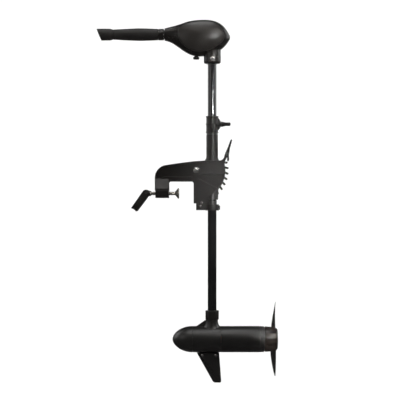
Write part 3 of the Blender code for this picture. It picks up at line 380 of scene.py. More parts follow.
def inset(outline, distance):
    """A closed outline moved inwards."""
    count = len(outline)
    area = sum(
        outline[k - 1][0] * outline[k][1] - outline[k][0] * outline[k - 1][1] for k in range(count)
    )
    inwards = 1.0 if area > 0 else -1.0
    moved = []
    for k in range(count):
        before, here, after = (Vector(outline[(k + s) % count]) for s in (-1, 0, 1))
        way = ((here - before).normalized() + (after - here).normalized()).normalized()
        moved.append(tuple(here + Vector((-way.y, way.x)) * (inwards * distance)))
    return moved


def side_view(u, v, w):
    return u, w, v


def plan_view(u, v, w):
    return u, v, w


def pillow(outline, low, high, rim, put=side_view, steps=4):
    """A plate between two depths with fully rounded rims."""
    rings = []
    for k in range(steps + 1):
        a = math.radians(90 * k / steps)
        rings.append((rim * (1 - math.sin(a)), low + rim * (1 - math.cos(a))))
    rings += [(d, high + low - level) for d, level in reversed(rings)]
    points, faces = [], []
    count = len(outline)
    for distance, level in rings:
        for u, v in inset(outline, distance):
            points.append(put(u, v, level))
    for i in range(len(rings) - 1):
        for k in range(count):
            j = (k + 1) % count
            faces.append((i * count + k, i * count + j, (i + 1) * count + j, (i + 1) * count + k))
    faces.append(tuple(range(count))[::-1])
    faces.append(tuple(range((len(rings) - 1) * count, len(rings) * count)))
    return points, faces


def circle_points(centre, radius, start, end, steps):
    angles = np.radians(np.linspace(start, end, steps + 1))
    return [(centre[0] + radius * math.cos(a), centre[1] + radius * math.sin(a)) for a in angles]


def screw_head(centre, side, radius, tall, socket):
    """A domed bolt head with a hexagon socket, facing along Y."""
    y = centre[1]
    axle = (centre[0], 0, centre[2])
    dome = [
        (radius * math.sin(math.radians(a)), y + side * tall * math.cos(math.radians(a)))
        for a in np.linspace(90, 24, 10)
    ]
    lip = (socket * 1.05, y + side * tall * 0.96)
    well = [lip] + [
        (across, y + side * tall * share) for across, share in ((socket, 0.9), (socket, 0.25), (0, 0.15))
    ]
    head = [(radius, y - side * 1.2)] + dome + [lip]
    return [lathe(head, "Y", axle, 48), lathe(well, "Y", axle, 48)]


def hex_nut(centre, low, high, radius, axis):
    """A six-sided nut with both faces chamfered."""
    bevel = radius * 0.1
    profile = [
        (0, low), (radius - bevel, low), (radius, low + bevel * 0.6),
        (radius, high - bevel * 0.6), (radius - bevel, high), (0, high),
    ]
    return lathe(profile, axis, centre, 6)


# ---------------------------------------------------------------- head and tiller

HEAD = (
    (-55.0, 511.1, 470.3, 20.4), (-40.0, 515.0, 466.5, 22.5), (-24.0, 519.0, 458.5, 26.0),
    (-8.0, 523.6, 447.5, 31.0), (8.0, 529.0, 436.0, 36.0), (28.0, 535.0, 425.0, 41.5),
    (49.0, 538.0, 419.0, 45.0), (68.0, 539.1, 418.0, 46.6), (86.0, 539.0, 420.0, 46.8),
    (104.0, 537.0, 425.0, 45.2), (120.0, 532.0, 432.0, 41.8), (134.0, 524.0, 441.0, 36.8),
    (146.0, 512.3, 452.0, 30.0), (155.0, 499.6, 463.0, 21.5), (161.0, 488.5, 472.5, 13.0),
)
HEAD_POWER = 2.25
PANEL_OUTLINE = (
    (-9.0, 500.0), (-2.0, 513.0), (12.0, 521.5), (32.0, 527.5), (54.0, 530.8),
    (76.0, 531.8), (97.0, 529.3), (115.0, 522.0), (129.0, 510.5), (138.5, 496.0),
    (143.0, 481.0), (140.0, 468.5), (130.0, 457.0), (116.0, 447.5), (99.0, 438.5),
    (80.0, 432.5), (60.0, 430.5), (42.0, 433.5), (26.0, 440.5), (12.0, 449.5),
    (0.5, 460.5), (-6.5, 474.0), (-10.0, 487.5),
)


def spline(places, values, at):
    """Smooth interpolation through (place, value) pairs, with no overshoot to speak of."""
    k = int(np.clip(np.searchsorted(places, at) - 1, 0, len(places) - 2))
    span = places[k + 1] - places[k]
    slopes = np.gradient(values, places)
    t = (at - places[k]) / span
    return (
        (1 + 2 * t) * (1 - t) ** 2 * values[k] + t * (1 - t) ** 2 * span * slopes[k]
        + t * t * (3 - 2 * t) * values[k + 1] + t * t * (t - 1) * span * slopes[k + 1]
    )


def head_section(x):
    """Middle height, half-height and half-width of the head at x."""
    places = np.array([row[0] for row in HEAD])
    x = min(max(x, places[0]), places[-1])
    top, low, wide = (spline(places, np.array([row[k] for row in HEAD]), x) for k in (1, 2, 3))
    return (top + low) / 2, (top - low) / 2, wide


def head_side(x, z):
    """Half-width of the head's outside at a point of its side view."""
    middle, tall, wide = head_section(x)
    inside = max(0.0, 1 - abs((z - middle) / tall) ** HEAD_POWER)
    return wide * inside ** (1 / HEAD_POWER)


def head_ring(x, middle, tall, wide, sign, around, pull=0.0):
    """Points from the bottom seam up to the top seam on one side."""
    ring = []
    for k in range(around + 1):
        a = math.pi * (k / around - 0.5)
        across = max(0.0, math.cos(a)) ** (2 / HEAD_POWER)
        up = math.copysign(abs(math.sin(a)) ** (2 / HEAD_POWER), math.sin(a))
        y, z = wide * across, middle + tall * up
        if k in (0, around):
            y, z = 0.12, middle + (tall - 0.5 - pull) * up
        elif y < 0.5:
            y = 0.5
        ring.append((x, sign * y, z))
    return ring


def head_half(side, sign):
    """One half of the housing: bored nose end, lofted body, rounded tail and shaft socket."""
    around = 44
    rings = []
    for x, radius in ((-44.0, 15.4), (-54.2, 15.4), (-55.0, 16.2)):
        rings.append([(x, p[1], p[2]) for p in circle_ring(x, radius, sign, around)])
    middle, tall, wide = head_section(-55.0)
    rings.append(head_ring(-55.0, middle, tall - 0.8, wide - 0.8, sign, around))
    rings.append(head_ring(-54.2, middle, tall, wide, sign, around))
    for x in np.linspace(-53.0, 160.4, 92):
        rings.append(head_ring(x, *head_section(x), sign, around))
    middle, tall, wide = head_section(161.0)
    for step, share in ((0.8, 0.93), (1.6, 0.80), (2.2, 0.58), (2.5, 0.30), (2.6, 0.03)):
        rings.append(head_ring(160.4 + step, middle, tall * share + 0.5, wide * share, sign, around))
    points = [p for ring in rings for p in ring]
    faces = []
    width = around + 1
    for i in range(len(rings) - 1):
        for k in range(around):
            a = i * width + k
            faces.append((a, a + 1, a + width + 1, a + width))
    start = 180.12 if sign < 0 else 0.12
    profile = [
        (24.0, 470.0), (22.0, 448.0), (24.5, 443.5), (28.2, 437.5), (28.2, 399.0), (26.6, 395.0),
        (24.0, 394.0), (15.2, 394.0), (14.9, 394.8), (14.9, 440.0),
    ]
    socket = turned(profile, 2.4, "Z", (SHAFT_X + 0.6, 0, 0), 48, start, 179.76)
    socket[1][-2:] = []  # its flat ends, on the seam between the halves
    show(built(f"head_half_{side}", (points, faces), socket), "shaft", f"head_shell_{side}")


def circle_ring(x, radius, sign, around):
    """One side of the round bore that the tiller goes into."""
    ring = []
    for k in range(around + 1):
        a = math.pi * (k / around - 0.5)
        ring.append((x, sign * max(0.12, radius * math.cos(a)), TILLER_Z + radius * math.sin(a)))
    return ring


def head_cover(side, sign):
    """The crowned side cover: rounded rim, a shut line round it and one long styling crease."""
    outline = rounded(PANEL_OUTLINE, 9.0, closed=True, steps=5)
    middle = Vector((66.0, 483.0))

    def spot(x, z, lift):
        here = head_side(x, z)
        slope_x = (head_side(x + 1, z) - head_side(x - 1, z)) / 2
        slope_z = (head_side(x, z + 1) - head_side(x, z - 1)) / 2
        normal = Vector((-slope_x, 1.0, -slope_z)).normalized()
        made = Vector((x, here, z)) + normal * lift
        return made.x, sign * made.y, made.z

    def crown(x, z):
        line = 497.0 - 0.10 * x
        reach = min(1.0, max(0.0, (x + 15) / 60))
        over = 1 - (z - line) / 30.0 if z > line else 1 - (line - z) / 62.0
        return 2.4 * max(0.0, over) * reach

    points, faces = [], []
    rings = [(-0.6, -0.4), (-0.2, 1.6), (0.35, 2.6), (1.1, 3.25), (2.2, 3.55)]
    for distance, lift in rings:
        for x, z in inset(outline, distance):
            points.append(spot(x, z, lift + crown(x, z) * min(1.0, max(0.0, distance) / 2.2)))
    inner = inset(outline, 2.2)
    shares = [0.94, 0.87, 0.79, 0.70, 0.60, 0.49, 0.37, 0.24, 0.11]
    for share in shares:
        for x, z in inner:
            at = middle + (Vector((x, z)) - middle) * share
            points.append(spot(at.x, at.y, 3.6 + crown(at.x, at.y)))
    points.append(spot(middle.x, middle.y, 3.6 + crown(*middle)))
    count = len(outline)
    total = len(rings) + len(shares)
    for i in range(total - 1):
        for k in range(count):
            j = (k + 1) % count
            faces.append((i * count + k, i * count + j, (i + 1) * count + j, (i + 1) * count + k))
    last = (total - 1) * count
    for k in range(count):
        faces.append((last + k, last + (k + 1) % count, len(points) - 1))
    show(built(f"head_cover_{side}", (points, faces), angle=30), "shaft", f"head_panel_{side}")


def head_pieces():
    """The two housing halves and covers, the socket's bolt and nut, and the cable gland."""
    for side, sign in (("port", -1), ("starboard", 1)):
        head_half(side, sign)
        head_cover(side, sign)
    x, z = SHAFT_X + 1.1, 408.5
    shank = lathe([(3.0, -28.6), (3.0, 33.5), (0, 33.5)], "Y", (x, 0, z), 24)
    washer = turned([(0, -28.4), (8.0, -28.4), (8.0, -29.6), (0, -29.6)], 0.3, "Y", (x, 0, z), 48)
    bolt = screw_head((x, -29.8, z), -1, 6.4, 4.2, 2.6)
    show(built("head_bolt_fine", *bolt, shank, washer), "shaft", "head_bolt")
    show(built("head_nut_fine", hex_nut((x, 0, z), 29.2, 33.0, 5.8, "Y")), "shaft", "head_nut")
    axle = (50.5, 0, 0)
    gland = [
        (0, 431.0), (6.5, 431.0), (6.5, 416.0), (10.2, 415.4), (10.2, 409.2), (8.6, 407.8), (4.2, 407.8),
        (3.4, 408.8), (3.4, 425.0), (0, 425.0),
    ]
    ribs = [
        lathe(circle_points((10.2, level), 0.5, 0, 360, 8), "Z", axle, 48) for level in (410.5, 412.5, 414.4)
    ]
    show(built("cable_gland_fine", turned(gland, 0.8, "Z", axle, 64), *ribs), "shaft", "cable_gland")


def twist_collar():
    """The speed collar: fine grip flutes behind a rim with white position ticks."""
    shapes = []
    profile = [(14.6, 33.0), (14.6, -56.8), (17.2, -56.8), (19.0, -58.4), (19.0, -60.4)]
    shapes.append(lathe([(0, 33.0)] + rounded(profile, 0.5), "X", (0, 0, TILLER_Z), 96))
    points, faces = [], []
    steps = 144
    heights = [-60.4, -61.0, -72.6, -73.2, -74.6, -75.6]
    for h in heights:
        for k in range(steps):
            a = 2 * math.pi * k / steps
            deep = 0.5 * max(0.0, math.cos(a * 24)) ** 0.6
            base = 18.0 if h < -75 else 19.0
            radius = base - (deep if -73.0 < h < -60.8 else 0.0)
            points.append((h, radius * math.cos(a), TILLER_Z + radius * math.sin(a)))
    for i in range(len(heights) - 1):
        for k in range(steps):
            j = (k + 1) % steps
            faces.append((i * steps + k, i * steps + j, (i + 1) * steps + j, (i + 1) * steps + k))
    faces.append(tuple(range((len(heights) - 1) * steps, len(heights) * steps)))
    shapes.append((points, faces))
    show(built("twist_collar_fine", *shapes), "twist", "twist_collar")
    ticks = []
    for k in range(24):
        a = 2 * math.pi * (k + 0.5) / 24
        long = 2.6 if k % 2 else 1.7
        c, s = math.cos(a), math.sin(a)
        spots = []
        for along in (-59.9, -59.9 + long):
            for across in (-0.45, 0.45):
                radius = 19.12 if along < -58.4 else 19.12 - (along + 58.4) * 1.12
                spots.append((along, radius * c - across * s, TILLER_Z + radius * s + across * c))
        ticks.append((spots, [(0, 1, 3, 2)]))
    show(built("speed_ticks", *ticks), "twist", look=TICK, slot="head_plastic")


def tiller_pieces():
    """Ribbed rubber grip, sloped end cap and bright inner tube."""
    places = [-226.6, -186.0, -138.0, -115.0, -77.6]
    radii = [16.8, 19.0, 20.8, 20.4, 18.8]
    profile = [(11.4, -226.6), (16.0, -226.6)]
    for x in np.linspace(-226.0, -78.4, 150):
        profile.append((spline(np.array(places), np.array(radii), x), x))
    profile += [(18.6, -77.2), (17.8, -76.3), (11.4, -76.2)]
    points, faces = lathe(profile, "X", (0, 0, TILLER_Z), 96)
    shaped = []
    for x, y, z in points:
        out = Vector((y, z - TILLER_Z))
        if -219.0 < x < -84.0 and out.length > 14:
            turn = math.atan2(out.y, out.x)
            fade = min(1.0, (x + 219.0) / 5.0, (-84.0 - x) / 5.0)
            out *= 1 - 0.016 * fade * max(0.0, math.cos(turn * 18)) ** 0.5
        shaped.append((x, out.x, out.y + TILLER_Z))
    show(built("tiller_grip_fine", (shaped, faces)), "tiller", "tiller_grip")
    cap = [
        (11.4, -227.0), (16.2, -227.0), (17.2, -228.0), (19.4, -237.0), (19.7, -262.0), (19.3, -290.0),
        (0, -290.0),
    ]
    cap = lathe(rounded(cap, 1.6, steps=6), "X", (0, 0, TILLER_Z), 96)
    show(cut_cap(built("tiller_cap_fine", cap)), "tiller", "tiller_end_cap")
    tube = [(8.8, 91.0), (10.4, 92.0), (11.0, 91.4), (11.0, -255.0), (8.8, -255.0)]
    tube = turned(tube, 0.4, "X", (0, 0, TILLER_Z), 64)
    show(built("tiller_tube_fine", tube), "tiller", "tiller_tube")


def cut_cap(mesh):
    """Slices the end cap off at a slope and closes it."""
    shape = bmesh.new()
    shape.from_mesh(mesh)
    first, second = Vector((-284.5, 515.0)) * MM, Vector((-264.5, 466.0)) * MM
    way = (second - first).normalized()
    normal = Vector((-abs(way.y), 0.0, -way.x)).normalized()
    result = bmesh.ops.bisect_plane(
        shape, geom=shape.verts[:] + shape.edges[:] + shape.faces[:], dist=1e-7,
        plane_co=(first.x, 0.0, first.y), plane_no=normal, clear_outer=True,
    )
    rim = [e for e in result["geom_cut"] if isinstance(e, bmesh.types.BMEdge)]
    bmesh.ops.holes_fill(shape, edges=rim)
    bmesh.ops.bevel(
        shape, geom=[e for e in rim if e.is_valid], offset=1.1 * MM, segments=3, profile=0.5, affect="EDGES",
    )
    bmesh.ops.recalc_face_normals(shape, faces=shape.faces)
    shape.to_mesh(mesh)
    shape.free()
    mesh.shade_smooth()
    mesh.set_sharp_from_angle(angle=math.radians(35))
    return mesh


# ---------------------------------------------------------------- shaft, collar and clamp


def shaft_pieces():
    tube = [(12.0, -481.4), (13.9, -482.0), (14.5, -481.4), (14.5, 431.4), (13.9, 432.0), (12.0, 432.0)]
    show(built("shaft_tube_fine", turned(tube, 0.4, "Z", (SHAFT_X, 0, 0))), "shaft", "shaft_tube")
    foot = 161.9
    body, flange, bore = 19.6, 21.2, 14.8
    collar = [
        (bore, 218.0), (flange, 218.0), (flange, 214.9), (body, 213.6), (body, 194.4), (flange, 193.1),
        (flange, 189.9), (body, 188.6), (body, 167.1), (flange, 165.6), (flange, foot), (bore, foot),
    ]
    ring = turned(collar, 0.7, "Z", (SHAFT_X, 0, 0), 96, 183.0, 354.0)
    gusset = rounded(
        [(117, 215), (122, 215.5), (129, 206), (133, 198), (133, 184.5), (129, 177), (122, 168), (117, 168)],
        1.6, closed=True,
    )
    knob_axle = (0, 0, KNOB_Z)
    boss = turned([(8.0, 116), (8.0, 132.2), (7.0, 133.2), (4.2, 133.2)], 0.5, "X", knob_axle, 48)
    pads = []
    for near, far in ((-18.6, -23.0), (18.6, 23.0)):
        pad = rounded([(99, near), (109, near), (109, far), (99, far)], 1.0, closed=True)
        pads.append(pillow(pad, 170.0, 186.0, 0.8, plan_view))
    shapes = [ring, pillow(gusset, -3.3, 3.3, 1.0), boss, *pads]
    show(built("depth_collar_fine", *shapes), "collar", "depth_collar")
    wing = (
        [(133.5, -6.0), (140.0, -9.0), (150.0, -17.0), (158.0, -20.0)]
        + circle_points((158.0, -13.0), 7.0, 270, 345, 6)[1:]
        + [(161.0, -4.0), (161.0, 4.0)]
        + circle_points((158.0, 13.0), 7.0, 15, 90, 6)
        + [(150.0, 17.0), (140.0, 9.0), (133.5, 6.0)]
    )
    hub = [(4.3, 133.5), (9.5, 133.5), (7.5, 142.0), (6.0, 149.4), (0, 150.4)]
    hub = turned(hub, 1.2, "X", knob_axle, 48)
    wings = pillow(rounded(wing, 2.6, closed=True), KNOB_Z - 5.0, KNOB_Z + 5.0, 2.6, plan_view)
    show(built("depth_knob_fine", hub, wings), "knob", "depth_knob")


def thread(root, crest, low, high, pitch, centre):
    """A right-handed screw thread along X, as a rippled tube."""
    steps, per_turn = 28, 8
    rows = int((high - low) / pitch * per_turn)
    points, faces = [], []
    for i in range(rows + 1):
        x = low + (high - low) * i / rows
        for k in range(steps):
            a = 2 * math.pi * k / steps
            phase = (x / pitch - k / steps) % 1.0
            ridge = 1 - abs(2 * phase - 1)
            fade = min(1.0, (x - low) / pitch, (high - x) / pitch)
            radius = root + (crest - root) * (ridge ** 0.9) * fade
            points.append((x, centre[1] + radius * math.cos(a), centre[2] + radius * math.sin(a)))
    for i in range(rows):
        for k in range(steps):
            j = (k + 1) % steps
            faces.append((i * steps + k, i * steps + j, (i + 1) * steps + j, (i + 1) * steps + k))
    return points, faces


def clamp_pieces():
    """Both clamp screws, with their swivel pads, folded handles and handle pins."""
    pitch = 2.5
    along = Vector((-0.587, 0, -0.810))  # the handles lean forward and down
    across = Vector((-along.z, 0, along.x))
    notch = (
        (0, -1), (2.5, -1), (2.5, -0.45), (-3.5, -0.45), (-3.5, 0.45), (2.5, 0.45), (2.5, 1), (0, 1),
    )
    for side, sign in (("port", -1), ("starboard", 1)):
        y = sign * SCREW_Y
        centre = (0, y, SCREW_Z)
        screw_body = f"screw_{side}"
        tip = [(0, -13.5), (3.6, -13.5), (3.6, -19.0), (5.0, -19.6), (5.2, -21.0)]
        tip = turned(tip, 0.4, "X", centre, 48)
        tail = lathe([(5.2, -101.0), (5.2, -103.0), (0, -103.0)], "X", centre, 48)
        ridges = thread(5.15, 6.0, -101.0, -21.0, pitch, centre)
        screw = built(f"clamp_screw_fine_{side}", tip, ridges, tail, angle=50)
        show(screw, screw_body, f"clamp_screw_{side}")
        face = [
            (0, -8.0), (6.0, -8.0), (6.6, -7.4), (8.6, -7.4), (9.2, -8.0), (11.4, -8.0), (12.0, -7.4),
            (17.2, -7.4), (17.7, -8.6), (16.2, -11.2), (9.8, -15.3), (7.2, -18.6), (4.0, -18.6),
            (3.9, -12.8), (0, -12.8),
        ]
        pad = built(f"clamp_pad_fine_{side}", turned(face, 0.8, "X", centre, 72))
        show(pad, f"pad_{side}", f"clamp_pad_{side}")
        top = Vector((-116.2, 0, SCREW_Z + 1.0))
        toe = top + along * 65.5
        width = 11.6
        outline = []
        for k in range(13):
            turn = math.radians(15 * k)
            spot = top + across * (width * math.cos(turn)) - along * (width * math.sin(turn))
            outline.append((spot.x, spot.z))
        for reach, step in notch:
            spot = toe + along * reach + across * (step * (width - 1.0))
            outline.append((spot.x, spot.z))
        outline = rounded(outline, 1.3, closed=True, steps=3)
        body = pillow(outline, y - 8.0, y + 8.0, 1.9)
        stub = turned([(0, -113.0), (9.0, -113.0), (9.0, -101.5), (6.4, -101.5)], 0.8, "X", centre, 48)
        bars = []
        for reach in (20.0, 28.0, 36.0, 44.0):
            bar = rounded(grip_bar(top, along, across, reach), 1.0, closed=True)
            bars += [pillow(bar, y + face_y - 0.9, y + face_y + 0.9, 0.7) for face_y in (-7.8, 7.8)]
        handle = built(f"clamp_handle_fine_{side}", body, stub, *bars)
        show(handle, screw_body, f"clamp_handle_{side}")
        pin = [(0, -8.7), (1.9, -8.7), (2.0, -8.4), (2.0, 8.4), (1.9, 8.7), (0, 8.7)]
        pin = turned(pin, 0.3, "Y", (top.x, y, top.z), 32)
        show(built(f"handle_pin_fine_{side}", pin), screw_body, f"handle_pin_{side}")


def grip_bar(top, along, across, reach):
    """A short raised bar across a clamp handle's side."""
    spots = []
    for a, b in ((-1.1, -7.5), (1.1, -7.5), (1.1, 7.5), (-1.1, 7.5)):
        spot = top + along * (reach + a) + across * b
        spots.append((spot.x, spot.z))
    return spots


def bead(line, y, radius):
    """A half-buried round bead that follows a line on the bracket's side."""
    steps = 12
    points, faces = [], []
    spots = [Vector(p) for p in line]
    for i, spot in enumerate(spots):
        before, after = spots[max(0, i - 1)], spots[min(len(spots) - 1, i + 1)]
        way = (after - before).normalized()
        across = Vector((-way.y, way.x))
        for k in range(steps):
            a = 2 * math.pi * k / steps
            at = spot + across * (radius * math.cos(a))
            points.append((at.x, y + radius * math.sin(a), at.y))
    for i in range(len(spots) - 1):
        for k in range(steps):
            j = (k + 1) % steps
            faces.append((i * steps + k, i * steps + j, (i + 1) * steps + j, (i + 1) * steps + k))
    faces.append(tuple(range(steps))[::-1])
    faces.append(tuple(range((len(spots) - 1) * steps, len(spots) * steps)))
    return points, faces


def bracket_beads():
    """Rounded lips and stiffening beads moulded on both cheeks of the bracket."""
    top = circle_points((-44.0, 12.0), 41.4, 180, 100, 18)
    arm = [(-51.2, 52.8), (-29.7, 55.9), (-3.7, 59.9), (46.0, 65.8), (72.5, 67.4), (134.0, 68.4)]
    top += rounded(arm, 6.0)[1:]
    seat = circle_points((-49.0, -6.5), 21.5, 180, 90, 12) + [(38.0, 15.4)]
    lines = (
        ([(-85.4, -27.0)] + top, 1.5),
        ([(-70.5, -27.0)] + seat, 1.4),
        ([(-57.6, -27.0)] + circle_points((-47.0, -8.0), 10.4, 180, 90, 8) + [(38.0, 2.4)], 1.2),
        ([(60.0, 24.0), (143.0, 24.0)], 1.7),
        ([(56.0, 10.0), (119.5, -22.2)], 1.4),
        (circle_points(PIVOT, 93.8, 14.0, -50.0, 24), 1.3),
        ([(44.6, -8.0), (44.6, -69.0)], 1.4),
    )
    boss = ((0, 30.2), (14.5, 30.2), (14.5, 31.4), (12.6, 31.9), (0, 31.9))
    shapes = []
    for sign in (-1, 1):
        for line, radius in lines:
            rim = 31.6 if line[0][0] < 0 else 30.6
            shapes.append(bead(line, sign * rim, radius))
        shapes.append(turned([(across, sign * y) for across, y in boss], 0.6, "Y", PIVOT_AXLE, 64))
    show(built("bracket_beads", *shapes), "clamp", look=NYLON, slot="bracket_nylon")


def bolt_pieces():
    """The tilt pivot's domed bolt and its nut."""
    dome = [
        (0, -32.6), (10.4, -32.6), (10.4, -33.6), (9.2, -33.8), (8.2, -36.4), (5.2, -38.6), (0, -39.3),
    ]
    shank = lathe([(5.0, -32.8), (5.0, 40.4), (4.4, 41.0), (0, 41.0)], "Y", PIVOT_AXLE, 40)
    bolt = built("pivot_bolt_fine", turned(dome, 0.9, "Y", PIVOT_AXLE, 64), shank)
    show(bolt, "clamp", "pivot_bolt")
    show(built("pivot_nut_fine", hex_nut(PIVOT_AXLE, 30.6, 38.0, 9.5, "Y")), "clamp", "pivot_nut")
    for k, (bx, bz) in enumerate(((63.8, -81.9), (68.5, -70.5))):
        shank = lathe([(2.5, -12.8), (2.5, 15.0), (0, 15.0)], "Y", (bx, 0, bz), 24)
        head = screw_head((bx, -13.3, bz), -1, 4.8, 3.6, 2.0)
        show(built(f"heel_bolt_fine_{k + 1}", *head, shank), "hinge", f"heel_bolt_{k + 1}")
    for name, sx in (("front", 70.8), ("rear", 116.6)):
        shank = lathe([(2.8, -6.4), (2.8, 6.4), (0, 6.4)], "Y", (sx, 0, -579.0), 24)
        head = screw_head((sx, -6.7, -579.0), -1, 4.9, 2.6, 2.1)
        show(built(f"skeg_screw_fine_{name}", *head, shank), "shaft", f"skeg_screw_{name}")


def hinge_pieces():
    """Round outer skin of the hinge's sleeve, and the lever with rounded rims."""
    axle = (SHAFT_X, 0, 0)
    low = turned([(15.0, 60.0), (19.5, 60.0), (19.5, 95.6), (15.0, 95.6)], 0.3, "Z", axle)
    split = [(15.9, 95.6), (19.5, 95.6), (19.5, 155.4), (18.7, 156.2), (15.9, 156.2), (15.9, 95.6)]
    high = turned(split, 0.4, "Z", axle, 96, 3.0, 354.0)
    heel = turned([(15.9, -96.4), (22.6, -96.4), (22.6, -76.1), (15.9, -76.1)], 0.7, "Z", axle)
    show(built("hinge_sleeve_skin", low, high, heel), "hinge", look=HINGE, slot="hinge_nylon")
    bush = [(14.9, 112.0), (15.5, 112.0), (15.5, 156.4), (18.6, 156.6), (18.6, 161.4), (14.9, 161.5)]
    show(built("sleeve_bush_fine", turned(bush, 0.3, "Z", axle)), "hinge", "sleeve_bush")
    outline = (
        [(154.7, 68.1), (153.0, 73.0), (154.4, 78.5), (151.5, 84.5), (148.0, 88.5)]
        + [(146.6, 92.0), (147.4, 96.0), (151.0, 103.5), (156.0, 115.0), (163.0, 134.0)]
        + [(165.4, 139.5), (168.0, 140.8), (170.4, 138.6), (167.4, 127.0), (162.6, 110.0)]
        + [(160.4, 98.0), (159.4, 88.0), (160.2, 78.0), (160.2, 71.0), (157.8, 67.6)]
    )
    arm = pillow(rounded(outline, 2.2, closed=True), -10.0, 10.0, 1.5)
    boss = turned([(2.8, -17.0), (5.6, -17.0), (5.6, 17.0), (2.8, 17.0)], 0.5, "Y", LEVER_AXLE, 40)
    show(built("tilt_lever_fine", arm, boss), "lever", "tilt_lever")
    pin = [(0, -31.5), (2.5, -31.5), (2.5, 30.4), (4.4, 30.4), (4.4, 32.6), (0, 32.6)]
    show(built("lever_pin_fine", turned(pin, 0.4, "Y", LEVER_AXLE, 40)), "clamp", "lever_pin")


# ---------------------------------------------------------------- lower unit


def motor_pieces():
    axis = (0, 0, MOTOR_Z)
    r = MOTOR_RADIUS
    nose = []
    for k in range(49):
        a = math.radians(90 * k / 48)
        nose.append((r * math.sin(a) ** 1.12, 38.0 - 66.9 * math.cos(a)))
    nose[-1:] = [(r, 37.5), (r - 0.35, 38.0), (r - 5, 38.0)]
    show(built("nose_cone_fine", lathe(nose, "X", axis, 128)), "shaft", "nose_cone")
    can = rounded([(r - 5, 133.1), (r, 133.1), (r, 262.0), (r - 4, 262.0)], 0.5)
    show(built("motor_tube_fine", lathe(can, "X", axis, 128)), "shaft", "motor_tube")
    bell = [
        (38.0, 262.4), (43.2, 262.4), (43.2, 266.0), (42.7, 266.4), (42.7, 267.2), (43.1, 267.6),
        (42.6, 276.0), (40.0, 278.3), (30.0, 278.3), (28.0, 276.9), (16.0, 276.9), (11.4, 278.3),
        (11.4, 268.0),
    ]
    show(built("end_bell_fine", turned(bell, 0.9, "X", axis, 128)), "shaft", "end_bell")
    body = turned([(r - 5, 38.3), (r, 38.3), (r, 132.7), (r - 5, 132.7)], 0.5, "X", axis, 128)
    gusset = [
        (44.0, -487.5), (50.0, -484.2), (57.0, -478.5), (80.5, -462.5), (92.0, -462.5), (92.0, -492.0),
        (44.0, -492.0),
    ]
    gusset = pillow(rounded(gusset, 2.0, closed=True), -5.0, 5.0, 1.8)
    lug = [(58.0, -564.0), (66.0, -587.0), (122.5, -587.0), (122.0, -564.0)]
    lug = pillow(rounded(lug, 1.0, closed=True), -2.5, 2.5, 0.6)
    housing = built("centre_housing_fine", body, motor_neck(), gusset, lug)
    show(housing, "shaft", "centre_housing")
    corners = [math.radians(60 * k) for k in range(6)]
    nut = [(SHAFT_X + 23.0 * math.cos(a), 23.0 * math.sin(a)) for a in corners]
    nut = pillow(rounded(nut, 2.4, closed=True), -460.6, -430.0, 1.6, plan_view)
    show(built("coupling_nut_fine", nut), "shaft", "coupling_nut")


def motor_neck():
    """The neck under the coupling nut, flared so that it runs smoothly into the motor's round side."""
    steps, rows = 72, 16
    points, faces = [], []
    for i in range(rows + 2):
        u = math.radians(90 * max(0, i - 1) / rows)
        for k in range(steps):
            a = 2 * math.pi * k / steps
            radius = 20.4 + 8.4 * (1 - math.cos(u)) if i else 15.0
            x, y = radius * math.cos(a), radius * math.sin(a)
            side = MOTOR_Z + math.sqrt(MOTOR_RADIUS ** 2 - y * y) - 0.25
            z = -461.2 + (side + 461.2) * math.sin(u)
            points.append((SHAFT_X - 1.0 + x, y, z))
    for i in range(rows + 1):
        for k in range(steps):
            j = (k + 1) % steps
            faces.append((i * steps + k, i * steps + j, (i + 1) * steps + j, (i + 1) * steps + k))
    return points, faces


def skeg_piece():
    """Swept fin with rounded edges, thinner towards its tip."""
    top, low = -569.8, -671.0
    outline = rounded(
        [(52.0, top - 0.6), (106.0, -667.5), (109.0, -670.2), (112.5, low), (129.5, low), (132.6, -670.0),
         (134.0, -667.0), (126.8, top - 0.6)],
        2.2, closed=True,
    )
    points, faces = pillow(outline, -6.5, 6.5, 3.0, steps=6)
    shaped = []
    for x, y, z in points:
        share = (z - low) / (top - low)
        shaped.append((x, y * (0.34 + 0.66 * share), z))
    show(built("skeg_fine", (shaped, faces)), "shaft", "skeg")


BLADE = (
    (30.0, 40.0, 24.0, 5.0, 307.0), (44.0, 45.0, 20.5, 4.6, 307.2), (60.0, 50.0, 16.5, 4.0, 307.9),
    (76.0, 52.0, 13.0, 3.4, 308.9), (92.0, 49.0, 10.5, 2.8, 310.2), (106.0, 41.0, 8.5, 2.2, 311.6),
    (117.0, 28.0, 7.0, 1.7, 312.9), (125.5, 10.0, 6.0, 1.2, 314.0),
)


def blade(turn):
    """One twisted blade from its root in the hub to a rounded tip."""
    half, rows = 16, 48
    places = np.array([row[0] for row in BLADE])
    points, faces = [], []
    spin = Matrix.Rotation(turn, 3, "X")
    for i in range(rows + 1):
        radius = 30.0 + (125.3 - 30.0) * math.sin(math.radians(90 * i / rows))
        chord, pitch, thick, rake = (
            spline(places, np.array([row[k] for row in BLADE]), radius) for k in (1, 2, 3, 4)
        )
        if radius > 119.0:
            chord = 24.4 * math.sqrt(max(0.02, 1 - ((radius - 119.0) / 6.4) ** 2))
        sweep = 0.12 * (radius - 30.0) ** 2 / 90.0
        p = math.radians(pitch)
        for k in range(2 * half):
            a = math.pi * k / half
            along = -math.cos(a) * chord / 2
            depth = math.sin(a) * thick / 2 * (1 - 0.25 * math.cos(a))
            x = rake + along * math.sin(p) + depth * math.cos(p)
            y = along * math.cos(p) - depth * math.sin(p) - sweep
            spot = spin @ Vector((x, y, radius))
            points.append((spot.x, spot.y, spot.z + MOTOR_Z))
    count = 2 * half
    for i in range(rows):
        for k in range(count):
            j = (k + 1) % count
            faces.append((i * count + k, i * count + j, (i + 1) * count + j, (i + 1) * count + k))
    faces.append(tuple(range(rows * count, (rows + 1) * count)))
    return points, faces


